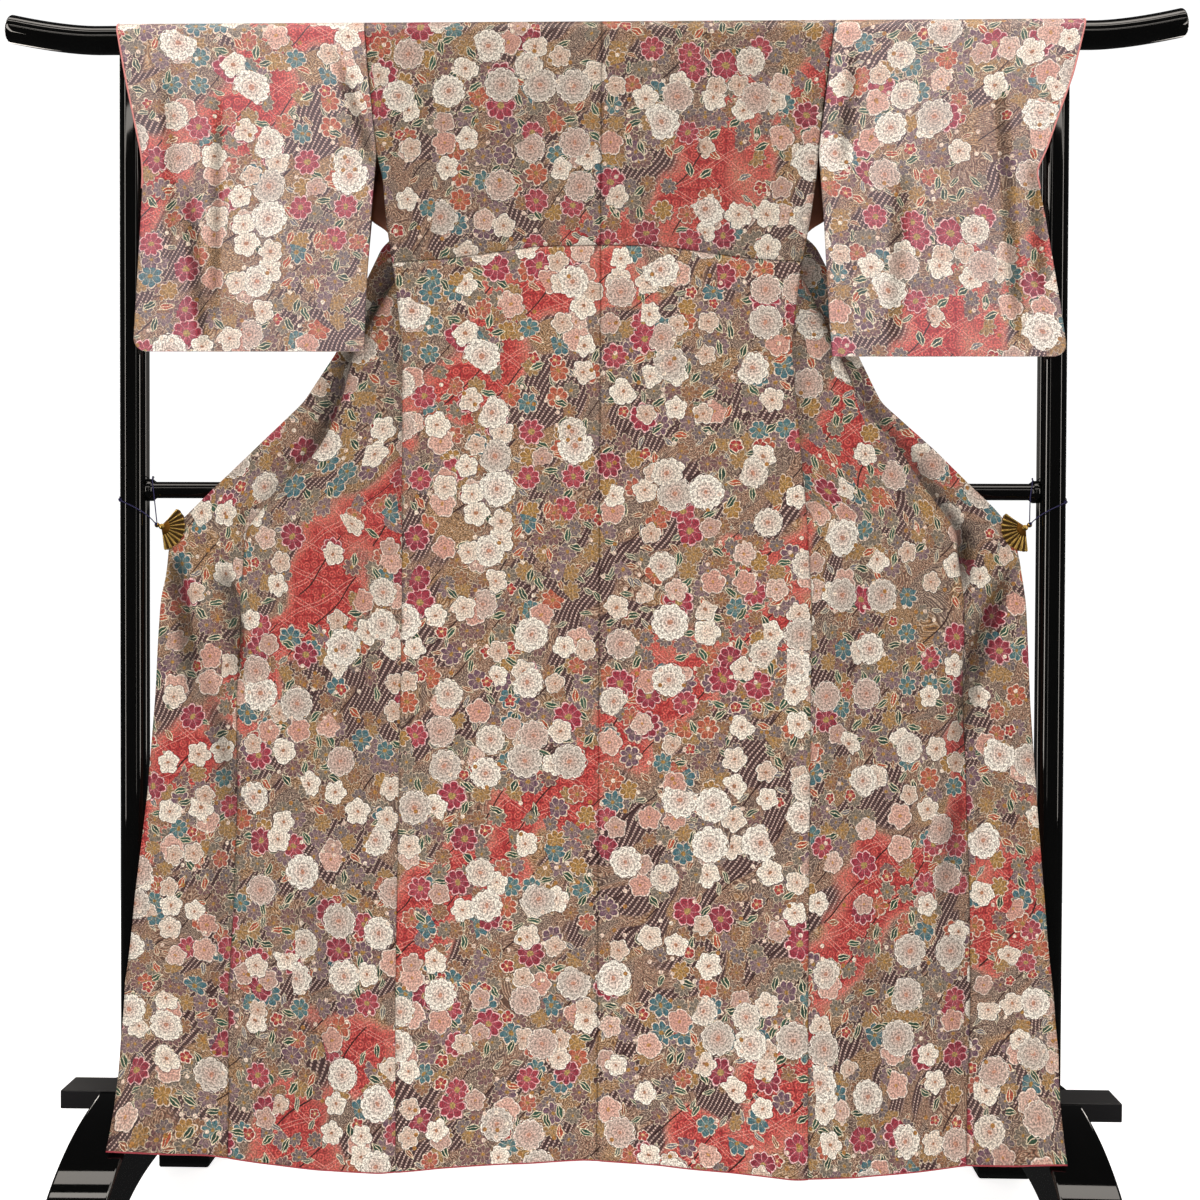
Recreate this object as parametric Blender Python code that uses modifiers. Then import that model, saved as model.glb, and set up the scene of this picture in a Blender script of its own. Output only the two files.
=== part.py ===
"""A lined silk kimono spread on a black lacquered kimono stand, seen from its back.

World frame: metres, +Z up, the viewer on the -Y side, the floor at Z = 0 and the stand's
middle at X = 0. The rod passes through both sleeves and the body, so the back of the garment
hangs in front of the rod (-Y) and the fronts hang behind it (+Y). The fronts then open outwards
at the side seams, and a fan clip on each side holds the front edge beside the post.
Garment widths are measured outwards from the centre back seam, on the left and on the right.
"""
import bpy
import bmesh
import math
import numpy as np
from mathutils import Matrix, Vector

# Stand
ROD_RADIUS = 0.019
ROD_HALF = 0.8125
ROD_Z = 1.673
ROD_TURNUP = 0.017
ROD_TURNUP_START = 0.69
POST_X = 0.638
POST_WIDTH = 0.037
POST_ROUNDING = 0.014
RAIL_Z = 1.046
RAIL_RADIUS = 0.0115
RAIL_COLLAR_RADIUS = 0.0155
RAIL_COLLAR_LENGTH = 0.012
BAR_HALF = 0.735
BAR_DEPTH = 0.052
BAR_TOP = 0.207
BAR_HEIGHT = 0.026
FOOT_WIDTH = 0.080
FOOT_HALF_LENGTH = 0.275
FOOT_ARCH_HALF = 0.205
FOOT_ARCH_HEIGHT = 0.116
FOOT_ARCH_POWER = 2.6
FOOT_SIDE_STEPS = 9
FOOT_EDGE = 0.004
ROD_STRAIGHT_HALF = 0.65
ROD_TURNUP_POWER = 1.6
ROD_END_EDGE = 0.003
BAR_EDGE = 0.0015
POST_TOP_BELOW_ROD_AXIS = 0.008
CUTTER_LENGTH = 0.200

# Cloth
GAP = 0.0003
WALL = 0.0016
CENTRE_X = 0.015
WRAP_RADIUS = ROD_RADIUS + 0.0008 + WALL / 2
SHOULDER_ARC = WRAP_RADIUS * math.pi / 2
SHOULDER_START = 0.0005
BACK_WIDTH = 0.280
FRONT_WIDTH = 0.245
FRONT_FOLD_ARC = 0.023
SIDE_SEAM_INSET = 0.0010
COLLAR_END = 1.000
NECK_CORNER_Z = 1.645
NECK_TAPER = 0.93
ROLL_STARTS = 1.500
ROLL_LEAVES_COLLAR = 1.480
ROLL_FADES = 1.140
ROLL_GONE = 0.900
ROLL_SHORTEST_RUN = 0.080
SHOULDER_ROWS = 5
BACK_COLUMNS = 8
BACK_UPPER_ROWS = 8
BACK_LOWER_ROWS = 20
SLEEVE_COLUMNS = 9
SLEEVE_ROWS = 13
COLLAR_COLUMNS = 10
OKUMI_COLUMNS = 6
FRONT_COLUMNS = 13
COLUMN_CROWDING = 9.0
ROLLED_SEAM_GAP = 0.0012
SLEEVE_BOTTOM = {"left": 1.236, "right": 1.229}
SLEEVE_CORNER = 0.018
WRIST_SWING_POWER = 2.5
FOLD_OVERRUN = 0.35
FOLD_FADE = 0.50
HEM_MEAN = 0.125
HEM_BLEND_FROM = 0.50
PUSH_FROM = 0.42
PUSH_POWER = 2.2

# Clips and their cords
FAN_RADIUS = 0.033
FAN_PLATE = 0.0014
FAN_OPENING = math.radians(134)
FAN_RIBS = 9
FAN_HEEL = 0.004
FAN_SCALLOP = 0.0010
PIN_RADIUS = 0.0030
BEAD_RADIUS = 0.0035
CLIP_CLOTH_FRONT = -0.0202
CLIP_CLOTH_BACK = -0.0174
CORD_RADIUS = 0.00075

SIDES = {"left": -1, "right": 1}

# Back of the body: height, half width on the left, half width on the right.
BACK_EDGE = [
    (1.694, 0.328, 0.320),
    (1.578, 0.317, 0.304),
    (1.508, 0.309, 0.297),
    (1.472, 0.300, 0.294),
    (1.420, 0.296, 0.287),
    (1.392, 0.292, 0.282),
    (1.333, 0.283, 0.271),
    (1.237, 0.272, 0.262),
    (1.100, 0.272, 0.275),
    (1.018, 0.272, 0.283),
    (0.895, 0.272, 0.291),
    (0.620, 0.276, 0.290),
    (0.343, 0.280, 0.289),
    (0.100, 0.278, 0.290),
]

# Side edge of the front where it leaves the back's edge, in the armhole:
# height, how far it stands outside the back's edge.
ARMHOLE_SPREAD = [(1.508, 0.000), (1.440, 0.014), (1.415, 0.014), (1.385, 0.000)]

# Front edge of the spread garment, collar above and okumi below: height, left, right.
FRONT_EDGE = [
    (1.645, 0.022, 0.012),
    (1.390, 0.286, 0.278),
    (1.333, 0.318, 0.310),
    (1.237, 0.362, 0.352),
    (1.168, 0.412, 0.387),
    (1.100, 0.482, 0.462),
    (1.056, 0.528, 0.506),
    (1.018, 0.566, 0.545),
    (0.990, 0.594, 0.566),
    (0.950, 0.601, 0.576),
    (0.895, 0.607, 0.583),
    (0.757, 0.615, 0.589),
    (0.620, 0.626, 0.599),
    (0.482, 0.643, 0.611),
    (0.343, 0.655, 0.622),
    (0.250, 0.651, 0.621),
    (0.125, 0.635, 0.604),
]

# Width of the strip beyond the front's seam, collar above and okumi below: height, left, right.
STRIP_WIDTH = [
    (1.645, 0.055, 0.055),
    (1.390, 0.050, 0.050),
    (1.237, 0.026, 0.026),
    (1.168, 0.053, 0.030),
    (1.100, 0.093, 0.050),
    (1.018, 0.116, 0.092),
    (0.895, 0.118, 0.098),
    (0.757, 0.120, 0.102),
    (0.482, 0.148, 0.112),
    (0.232, 0.150, 0.130),
    (0.100, 0.142, 0.126),
]

# Sleeves: height, outer edge on the left and right, inner edge on the left and right.
SLEEVE_EDGES = [
    (1.694, 0.672, 0.660, 0.328, 0.320),
    (1.615, 0.657, 0.641, 0.321, 0.310),
    (1.508, 0.634, 0.604, 0.309, 0.297),
    (1.482, 0.632, 0.592, 0.311, 0.299),
    (1.420, 0.635, 0.604, 0.316, 0.304),
    (1.300, 0.642, 0.625, 0.323, 0.311),
    (1.226, 0.646, 0.636, 0.325, 0.317),
]

# Depth (Y) of the hanging layers: height, back of the garment, side edge of the front,
# front edge of the front.
DEPTHS = [
    (1.673, -WRAP_RADIUS, WRAP_RADIUS, WRAP_RADIUS),
    (1.508, -0.0235, 0.0185, 0.0300),
    (1.440, -0.0245, 0.0100, 0.0280),
    (1.385, -0.0250, -0.0231, 0.0210),
    (1.300, -0.0258, -0.0239, 0.0040),
    (1.237, -0.0264, -0.0245, -0.0070),
    (1.100, -0.0275, -0.0256, -0.0150),
    (1.046, -0.0278, -0.0259, -0.0156),
    (1.030, -0.0279, -0.0260, -0.0185),
    (0.955, -0.0282, -0.0263, -0.0185),
    (0.880, -0.0286, -0.0267, -0.0250),
    (0.500, -0.0305, -0.0286, -0.0290),
    (0.200, -0.0325, -0.0306, -0.0310),
    (0.090, -0.0335, -0.0316, -0.0320),
]

# Depth of the sleeve's far wall: height, at its inner edge, at its wrist edge.
FAR_SLEEVE_DEPTHS = [
    (1.673, WRAP_RADIUS, WRAP_RADIUS),
    (1.605, 0.0200, 0.0206),
    (1.550, 0.0190, 0.0020),
    (1.508, 0.0185, -0.0170),
    (1.490, 0.0178, -0.0218),
    (1.420, 0.0130, -0.0227),
    (1.350, 0.0030, -0.0234),
    (1.300, -0.0080, -0.0238),
    (1.250, -0.0210, -0.0243),
    (1.226, -0.0245, -0.0245),
]

# How far out the wrist edge of the far wall may reach, from the stand's middle, so that it
# passes behind the post under the rod and then on the post's inner side: height, distance.
WRIST_LIMIT = [(1.673, 0.655), (1.645, 0.640), (1.605, 0.614), (1.490, 0.614), (1.470, 0.660)]

# Hem: distance from the stand's middle, height, how far the feet and the folds push it forward.
HEM = [
    (0.000, 0.127, 0.008),
    (0.100, 0.123, 0.011),
    (0.200, 0.112, 0.007),
    (0.285, 0.101, 0.003),
    (0.370, 0.107, 0.009),
    (0.450, 0.123, 0.024),
    (0.510, 0.140, 0.042),
    (0.565, 0.162, 0.092),
    (0.590, 0.177, 0.123),
    (0.680, 0.180, 0.126),
]

# Seam of the tuck across the back: distance from the centre seam, height.
TUCK = [(0.000, 1.382), (0.085, 1.380), (0.200, 1.364), (0.300, 1.357)]

# Largest folds of the drape: side, x and z of one end, x and z of the other, width, depth.
FOLDS = [
    ("left", 0.578, 0.930, 0.560, 0.800, 0.022, 0.0060),
    ("left", 0.510, 0.940, 0.540, 0.880, 0.022, 0.0040),
    ("right", 0.545, 0.900, 0.520, 0.790, 0.024, 0.0070),
    ("right", 0.490, 0.940, 0.480, 0.880, 0.022, 0.0040),
    ("left", 0.110, 0.450, 0.100, 0.150, 0.040, -0.0060),
    ("right", 0.120, 0.430, 0.130, 0.150, 0.040, -0.0060),
]

# Clips: pivot x and z, direction of the fan's middle in degrees from +X.
CLIPS = {
    "left": (-0.593, 0.994, -17.0),
    "right": (0.597, 0.996, 210.0),
}

# A cord's loop from the bead over the rail's end, behind the post and back in front of it:
# distance from the stand's middle, depth, height.
CORD_ROUTE = [
    (0.6010, -0.0225, 1.0020),
    (0.6035, -0.0215, 1.0360),
    (0.6070, -0.0175, 1.0540),
    (0.6110, -0.0060, 1.0640),
    (0.6150, 0.0100, 1.0640),
    (0.6185, 0.0200, 1.0590),
    (0.6380, 0.0204, 1.0500),
    (0.6575, 0.0200, 1.0420),
    (0.6590, 0.0000, 1.0370),
    (0.6580, -0.0195, 1.0330),
    (0.6380, -0.0205, 1.0240),
    (0.6180, -0.0205, 1.0130),
    (0.6090, -0.0212, 1.0060),
    (0.6050, -0.0215, 1.0020),
]


def lookup(table, height, column):
    """A column of a table at a height, on a straight line between the rows on either side."""
    rows = sorted(table)
    keys = [row[0] for row in rows]
    values = [row[column] for row in rows]
    return float(np.interp(height, keys, values))


def smooth(value):
    value = min(1.0, max(0.0, value))
    return value * value * (3.0 - 2.0 * value)


def side_column(side):
    return 1 if side == "left" else 2


def over_rod(distance, far_side):
    """Depth and height at a distance from the shoulder line, over the rod and straight down."""
    toward = 1.0 if far_side else -1.0
    if distance < SHOULDER_ARC:
        angle = math.pi / 2 - distance / WRAP_RADIUS
        return toward * WRAP_RADIUS * math.cos(angle), ROD_Z + WRAP_RADIUS * math.sin(angle)
    return None, ROD_Z - (distance - SHOULDER_ARC)


def crease(side, x, z):
    """How far the largest folds push the cloth away from the viewer."""
    total = 0.0
    for fold_side, x0, z0, x1, z1, width, depth in FOLDS:
        if fold_side != side:
            continue
        along = (z - z0) / (z1 - z0)
        window = smooth((along + FOLD_OVERRUN) / FOLD_FADE)
        window *= smooth((1.0 + FOLD_OVERRUN - along) / FOLD_FADE)
        offset = (x - (x0 + (x1 - x0) * along)) / width
        total += depth * window * math.exp(-offset * offset)
    return total


def from_stand(side, x):
    """Distance from the stand's middle of a place measured from the centre seam."""
    return abs(SIDES[side] * x + CENTRE_X)


def settle(side, x, z):
    """Height of a row once the hem's line is followed."""
    share = smooth((HEM_BLEND_FROM - z) / (HEM_BLEND_FROM - HEM_MEAN))
    return z + (lookup(HEM, from_stand(side, x), 1) - HEM_MEAN) * share


def forward_push(side, x, z):
    """The lower edge is pushed towards the viewer by the feet and by the folds."""
    away = from_stand(side, x)
    share = max(0.0, (PUSH_FROM - z) / (PUSH_FROM - lookup(HEM, away, 1)))
    return lookup(HEM, away, 2) * share ** PUSH_POWER


def garment_point(side, x, depth, z):
    """World point of a place on the garment, x outwards from the centre seam."""
    return Vector((CENTRE_X + SIDES[side] * x, depth, z))


def back_point(side, across, z):
    """The back of the garment below the rod: across is 0 at the centre seam, 1 at the side."""
    x = GAP / 2 + (lookup(BACK_EDGE, z, side_column(side)) - GAP) * across
    height = settle(side, x, z)
    depth = lookup(DEPTHS, z, 1) - forward_push(side, x, height) + crease(side, x, height)
    return garment_point(side, x, depth, height)


def front_edges(side, z):
    """Side edge and front edge of the front, and the strip's width, at a height."""
    column = side_column(side)
    start = lookup(BACK_EDGE, z, column) + lookup(ARMHOLE_SPREAD, z, 1) - SIDE_SEAM_INSET
    return start, lookup(FRONT_EDGE, z, column), lookup(STRIP_WIDTH, z, column)


def front_section(side, z):
    """Plan of front and strip at a height: distances along the cloth, x and depth there.

    The cloth runs inwards from the side edge, turns in one roll and comes back outwards.
    The roll lies at the front edge by the neck, wanders to the side seam further down, and
    has left the cloth just above the clips, where the front is fully open.
    """
    start, edge, strip = front_edges(side, z)
    width = FRONT_WIDTH + strip
    roll = (start + width - edge) / 2
    roll += FRONT_FOLD_ARC * smooth((z - ROLL_STARTS) / (NECK_CORNER_Z - ROLL_STARTS))
    roll += (-FRONT_FOLD_ARC - roll) * smooth((ROLL_FADES - z) / (ROLL_FADES - ROLL_GONE))
    if z >= NECK_CORNER_Z:
        edge = start - width
    along = np.linspace(0.0, width, 301)
    turn = np.clip((along - roll) / FRONT_FOLD_ARC + 0.5, 0.0, 1.0)
    angle = math.pi * (1.0 - turn * turn * (3.0 - 2.0 * turn))
    step = along[1] - along[0]
    x = start + np.concatenate(([0.0], np.cumsum(np.cos(angle[1:]) * step)))
    depth = np.concatenate(([0.0], np.cumsum(np.sin(angle[1:]) * step)))
    x += (edge - x[-1]) * along / width
    depth += lookup(DEPTHS, z, 2)
    past_roll = np.clip((along - roll) / max(width - roll, ROLL_SHORTEST_RUN), 0.0, 1.0)
    if z < NECK_CORNER_Z:
        depth += (lookup(DEPTHS, z, 3) - depth[-1]) * past_roll
    return along, x, depth, roll


def front_point(side, distance, z, section):
    """A place on the front or its strip, by its distance along the cloth from the side edge."""
    along, xs, depths, _ = section
    x = float(np.interp(distance, along, xs))
    depth = float(np.interp(distance, along, depths))
    height = settle(side, x, z)
    depth += crease(side, x, height) - forward_push(side, x, height)
    return garment_point(side, x, depth, height)


def spaced(first, last, count):
    return [first + (last - first) * i / (count - 1) for i in range(count)]


FRONT_HEIGHTS = [ROD_Z] + spaced(NECK_CORNER_Z, ROLL_LEAVES_COLLAR, 12)
FRONT_HEIGHTS += spaced(ROLL_LEAVES_COLLAR, ROLL_FADES, 10)[1:]
FRONT_HEIGHTS += spaced(ROLL_FADES, COLLAR_END, 8)[1:]
FRONT_HEIGHTS += spaced(COLLAR_END, HEM_MEAN, 13)[1:]


def new_material(name, color, roughness, metallic=0.0):
    material = bpy.data.materials.new(name)
    material.use_nodes = True
    shader = material.node_tree.nodes["Principled BSDF"]
    shader.inputs["Base Color"].default_value = (*color, 1.0)
    shader.inputs["Roughness"].default_value = roughness
    shader.inputs["Metallic"].default_value = metallic
    return material


def add_object(name, data, material):
    data.materials.append(material)
    thing = bpy.data.objects.new(name, data)
    collection.objects.link(thing)
    return thing


def add_bevel(thing, width, segments=2, limit=50.0):
    bevel = thing.modifiers.new("Rounded edges", "BEVEL")
    bevel.width = width
    bevel.segments = segments
    bevel.limit_method = "ANGLE"
    bevel.angle_limit = math.radians(limit)
    return bevel


def add_cloth(name, rows, material, flip):
    """A wall of cloth through rows of points, closed by Solidify."""
    mesh = bpy.data.meshes.new(name)
    bm = bmesh.new()
    row_count = len(rows)
    column_count = len(rows[0])
    bmesh.ops.create_grid(bm, x_segments=column_count - 1, y_segments=row_count - 1, size=1.0)
    for vert in bm.verts:
        column = round((vert.co.x + 1.0) / 2.0 * (column_count - 1))
        row = round((vert.co.y + 1.0) / 2.0 * (row_count - 1))
        vert.co = rows[row][column]
    if flip:
        bmesh.ops.reverse_faces(bm, faces=bm.faces)
    bm.to_mesh(mesh)
    bm.free()
    thing = add_object(name, mesh, material)
    wall = thing.modifiers.new("Cloth wall", "SOLIDIFY")
    wall.thickness = WALL
    wall.offset = 0.0
    return thing


def tube(name, points, radius, resolution, material):
    curve = bpy.data.curves.new(name, "CURVE")
    curve.dimensions = "3D"
    curve.bevel_depth = radius
    curve.bevel_resolution = resolution
    curve.use_fill_caps = True
    spline = curve.splines.new("POLY")
    spline.points.add(len(points) - 1)
    for place, point in zip(spline.points, points):
        place.co = (*point, 1.0)
    return add_object(name, curve, material)


def curve_to_mesh(thing):
    """A curve object made a mesh object, its caps welded and each flat side one face."""
    depsgraph = bpy.context.evaluated_depsgraph_get()
    mesh = bpy.data.meshes.new_from_object(thing.evaluated_get(depsgraph))
    bm = bmesh.new()
    bm.from_mesh(mesh)
    bmesh.ops.remove_doubles(bm, verts=bm.verts, dist=0.00005)
    bmesh.ops.dissolve_limit(
        bm, angle_limit=math.radians(1.0), verts=bm.verts, edges=bm.edges)
    bm.to_mesh(mesh)
    bm.free()
    made = bpy.data.objects.new(thing.name + "_solid", mesh)
    made.matrix_world = thing.matrix_world
    name = thing.name
    bpy.data.objects.remove(thing)
    made.name = name
    return made


def plate(name, outline, thickness, bevel, material):
    """A flat outline in the XZ plane with a thickness along Y, centred on Y = 0."""
    curve = bpy.data.curves.new(name, "CURVE")
    curve.dimensions = "2D"
    curve.fill_mode = "BOTH"
    curve.extrude = thickness / 2
    spline = curve.splines.new("POLY")
    spline.points.add(len(outline) - 1)
    for place, (x, z) in zip(spline.points, outline):
        place.co = (x, z, 0.0, 1.0)
    spline.use_cyclic_u = True
    thing = bpy.data.objects.new(name, curve)
    collection.objects.link(thing)
    thing = curve_to_mesh(thing)
    thing.data.transform(Matrix.Rotation(math.radians(90), 4, "X"))
    collection.objects.link(thing)
    thing.data.materials.clear()
    thing.data.materials.append(material)
    if bevel:
        add_bevel(thing, bevel)
    return thing


def cut_with(thing, cutter):
    cutter.hide_render = True
    cutter.display_type = "WIRE"
    boolean = thing.modifiers.new("Cut for " + cutter.name, "BOOLEAN")
    boolean.operation = "DIFFERENCE"
    boolean.solver = "EXACT"
    boolean.object = cutter


def box_mesh(name, size):
    mesh = bpy.data.meshes.new(name)
    bm = bmesh.new()
    bmesh.ops.create_cube(bm, size=1.0, matrix=Matrix.Diagonal((*size, 1.0)))
    bm.to_mesh(mesh)
    bm.free()
    return mesh


def build_rod(lacquer):
    """The top rod: straight through the garment, its bare ends turned up a little."""
    points = []
    for x in spaced(-ROD_HALF, ROD_HALF, 25):
        beyond = max(0.0, abs(x) - ROD_TURNUP_START) / (ROD_HALF - ROD_TURNUP_START)
        points.append((x, 0.0, ROD_Z + ROD_TURNUP * beyond ** ROD_TURNUP_POWER))
    bent = [point for point in points if abs(point[0]) > ROD_STRAIGHT_HALF]
    rod = tube("top_rod", bent, ROD_RADIUS, 6, lacquer)
    weld = rod.modifiers.new("Closed ends", "WELD")
    weld.merge_threshold = 0.0001
    add_bevel(rod, ROD_END_EDGE, 2, 60.0)


def build_posts(lacquer):
    """Upright posts of a rounded square section, their tops hollowed to seat the rod."""
    seat = bpy.data.meshes.new("rod_seat")
    bm = bmesh.new()
    bmesh.ops.create_cone(
        bm, cap_ends=True, segments=24, radius1=ROD_RADIUS + GAP, radius2=ROD_RADIUS + GAP,
        depth=CUTTER_LENGTH, matrix=Matrix.Rotation(math.radians(90), 4, "Y"))
    bm.to_mesh(seat)
    bm.free()
    bottom = BAR_TOP + GAP
    for side, sign in SIDES.items():
        cutter = bpy.data.objects.new("rod_seat_" + side, seat)
        cutter.location = (sign * POST_X, 0.0, ROD_Z)
        cutters.objects.link(cutter)
        height = ROD_Z - POST_TOP_BELOW_ROD_AXIS - bottom
        post = add_object(
            "post_" + side, box_mesh("post_" + side, (POST_WIDTH, POST_WIDTH, height)), lacquer)
        post.location = (sign * POST_X, 0.0, bottom + height / 2)
        upright = post.data.attributes.new("bevel_weight_edge", "FLOAT", "EDGE")
        for edge in post.data.edges:
            ends = [post.data.vertices[i].co for i in edge.vertices]
            upright.data[edge.index].value = float(abs(ends[0].z - ends[1].z) > height / 2)
        rounding = add_bevel(post, POST_ROUNDING, 4)
        rounding.limit_method = "WEIGHT"
        cut_with(post, cutter)


def build_rail(lacquer):
    """Middle rail between the posts, turned with a small flared collar at each end."""
    half = POST_X - POST_WIDTH / 2 - GAP
    outline = [
        (0.0, -half),
        (RAIL_COLLAR_RADIUS, -half),
        (RAIL_COLLAR_RADIUS, -half + RAIL_COLLAR_LENGTH / 2),
        (RAIL_RADIUS, -half + RAIL_COLLAR_LENGTH),
    ]
    outline += [(radius, -place) for radius, place in reversed(outline)]
    mesh = bpy.data.meshes.new("mid_rail")
    bm = bmesh.new()
    verts = [bm.verts.new((radius, 0.0, -place)) for radius, place in outline]
    for first, second in zip(verts, verts[1:]):
        bm.edges.new((first, second))
    bm.to_mesh(mesh)
    bm.free()
    rail = add_object("mid_rail", mesh, lacquer)
    turned = rail.modifiers.new("Turned", "SCREW")
    turned.steps = 16
    turned.render_steps = 16
    turned.use_merge_vertices = True
    turned.merge_threshold = 0.00005
    rail.location = (0.0, 0.0, RAIL_Z)
    rail.rotation_euler = (0.0, math.radians(90), 0.0)


def build_bar(satin):
    """Long bar that ties the two feet, let into their crowns."""
    size = (2 * BAR_HALF, BAR_DEPTH, BAR_HEIGHT)
    bar = add_object("cross_bar", box_mesh("cross_bar", size), satin)
    bar.location = (0.0, 0.0, BAR_TOP - BAR_HEIGHT / 2)
    add_bevel(bar, BAR_EDGE, 2)


def foot_outline():
    """Side view of an arched foot: an ellipse outside, a squarer arch under it."""
    steps = FOOT_SIDE_STEPS
    outer = []
    for i in range(2 * steps + 1):
        angle = math.pi * i / (2 * steps)
        outer.append((FOOT_HALF_LENGTH * math.cos(angle), BAR_TOP * math.sin(angle)))
    inner = []
    power = 2.0 / FOOT_ARCH_POWER
    for i in range(2 * steps + 1):
        angle = math.pi * (1.0 - i / (2 * steps))
        cosine, sine = math.cos(angle), math.sin(angle)
        along = math.copysign(abs(cosine) ** power, cosine) * FOOT_ARCH_HALF
        inner.append((along, max(0.0, sine) ** power * FOOT_ARCH_HEIGHT))
    return outer + inner


def build_feet(lacquer):
    """Thick arched planks running front to back, notched for the bar and the post."""
    notch_size = (CUTTER_LENGTH, BAR_DEPTH + 2 * GAP, 2 * (BAR_HEIGHT + GAP))
    notch_mesh = box_mesh("bar_notch", notch_size)
    for side, sign in SIDES.items():
        foot = plate("foot_" + side, foot_outline(), FOOT_WIDTH, 0.0, lacquer)
        foot.data.transform(Matrix.Rotation(math.radians(90), 4, "Z"))
        add_bevel(foot, FOOT_EDGE, 2, 60.0)
        foot.location = (sign * POST_X, 0.0, 0.0)
        notch = bpy.data.objects.new("bar_notch_" + side, notch_mesh)
        notch.location = (sign * POST_X, 0.0, BAR_TOP)
        cutters.objects.link(notch)
        cut_with(foot, notch)


def back_rows(side, top, bottom, count):
    """Rows of the back between two heights given as functions of x."""
    rows = []
    for share in spaced(0.0, 1.0, count):
        row = []
        for across in spaced(0.0, 1.0, BACK_COLUMNS):
            x = BACK_WIDTH * across
            z = top(x) + (bottom(x) - top(x)) * share
            row.append(back_point(side, across, z))
        rows.append(row)
    return rows


def tuck_height(x):
    return lookup(TUCK, x, 1)


def build_back(side, silk):
    lower = back_rows(
        side, lambda x: tuck_height(x) - GAP / 2, lambda x: HEM_MEAN, BACK_LOWER_ROWS)
    add_cloth("back_lower_" + side, lower, silk, side == "left")
    upper = []
    for distance in spaced(SHOULDER_START, SHOULDER_ARC, SHOULDER_ROWS)[:-1]:
        depth, z = over_rod(distance, False)
        width = lookup(BACK_EDGE, z, side_column(side)) - GAP
        places = spaced(GAP / 2, GAP / 2 + width, BACK_COLUMNS)
        upper.append([garment_point(side, x, depth, z) for x in places])
    upper += back_rows(
        side, lambda x: ROD_Z, lambda x: tuck_height(x) + GAP / 2, BACK_UPPER_ROWS)
    add_cloth("back_upper_" + side, upper, silk, side == "left")


def shoulder_rows(side, first_x, last_x):
    """Rows over the far quarter of the rod, from the shoulder line to the rod's level."""
    rows = []
    places = spaced(first_x, last_x, FRONT_COLUMNS)
    for distance in spaced(SHOULDER_START, SHOULDER_ARC, SHOULDER_ROWS)[:-1]:
        depth, z = over_rod(distance, True)
        rows.append([garment_point(side, x, depth, z) for x in places])
    return rows


def front_seam_gap(roll):
    """Half the gap at the front's seam, wider where the roll bends the cloth across it."""
    return GAP / 2 + ROLLED_SEAM_GAP * math.exp(-((roll - FRONT_WIDTH) / FRONT_FOLD_ARC) ** 2)


def cloth_columns(first, last, roll, count):
    """Where a row's points lie: close together in the roll, wider apart beside it."""
    places = np.linspace(first, last, 200)
    density = 1.0 + COLUMN_CROWDING * np.exp(-((places - roll) / FRONT_FOLD_ARC) ** 2)
    share = np.concatenate(([0.0], np.cumsum(density[1:] + density[:-1])))
    return [float(np.interp(part, share / share[-1], places)) for part in spaced(0, 1, count)]


def build_front(side, silk):
    start = front_edges(side, ROD_Z)[0]
    rows = shoulder_rows(side, start, start - FRONT_WIDTH + GAP / 2)
    for z in FRONT_HEIGHTS:
        section = front_section(side, z)
        seam = FRONT_WIDTH - front_seam_gap(section[3])
        distances = cloth_columns(0.0, seam, section[3], FRONT_COLUMNS)
        rows.append([front_point(side, distance, z, section) for distance in distances])
    add_cloth("front_" + side, rows, silk, side == "right")


def strip_row(side, z, columns):
    """The strip beyond the front's seam, as wide as the collar or the okumi is there."""
    section = front_section(side, z)
    width = section[0][-1]
    seam = FRONT_WIDTH + front_seam_gap(section[3])
    return [
        front_point(side, distance, z, section)
        for distance in cloth_columns(seam, width, section[3], columns)]


def build_okumi(side, silk):
    below = [z for z in FRONT_HEIGHTS if z < COLLAR_END - 0.001]
    rows = [strip_row(side, z, OKUMI_COLUMNS) for z in [COLLAR_END - GAP / 2] + below]
    add_cloth("okumi_" + side, rows, silk, side == "right")


def build_collar(side, silk):
    """The collar: up the front edge, then round the side of the neck to the centre back."""
    above = [z for z in FRONT_HEIGHTS if COLLAR_END + 0.001 < z < NECK_CORNER_Z - 0.001]
    rows = [strip_row(side, z, COLLAR_COLUMNS) for z in [COLLAR_END + GAP / 2] + above[::-1]]
    low = SHOULDER_ARC + ROD_Z - NECK_CORNER_Z
    neck_start, _, strip = front_edges(side, NECK_CORNER_Z)
    rod_start = front_edges(side, ROD_Z)[0]
    turns = [(neck_start - FRONT_WIDTH - GAP / 2, low, neck_start - FRONT_WIDTH - strip)]
    for drop in spaced(SHOULDER_ARC, SHOULDER_START, SHOULDER_ROWS):
        turns.append((rod_start - FRONT_WIDTH - GAP / 2, drop, turns[-1][2] * NECK_TAPER))
    turns += [(turns[-1][0] / 2, SHOULDER_START, turns[-1][2] / 2)]
    turns += [(GAP / 2, SHOULDER_START, GAP / 2)]
    for outer_x, outer_drop, inner_x in turns:
        row = []
        for share in spaced(0.0, 1.0, COLLAR_COLUMNS):
            depth, z = over_rod(outer_drop + (low - outer_drop) * share, True)
            if depth is None:
                depth = lookup(DEPTHS, z, 2)
            row.append(garment_point(side, outer_x + (inner_x - outer_x) * share, depth, z))
        rows.append(row)
    add_cloth("collar_" + side, rows, silk, side == "left")


def sleeve_edges(side, z, bottom):
    """Outer and inner edge of a sleeve, the outer one rounded at the bottom corner."""
    column = side_column(side)
    outer = lookup(SLEEVE_EDGES, z, column)
    inner = lookup(SLEEVE_EDGES, z, column + 2) + GAP / 2
    low = SLEEVE_CORNER - (z - bottom)
    if low > 0.0:
        outer -= SLEEVE_CORNER - math.sqrt(max(0.0, SLEEVE_CORNER ** 2 - low ** 2))
    return inner, outer


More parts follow.
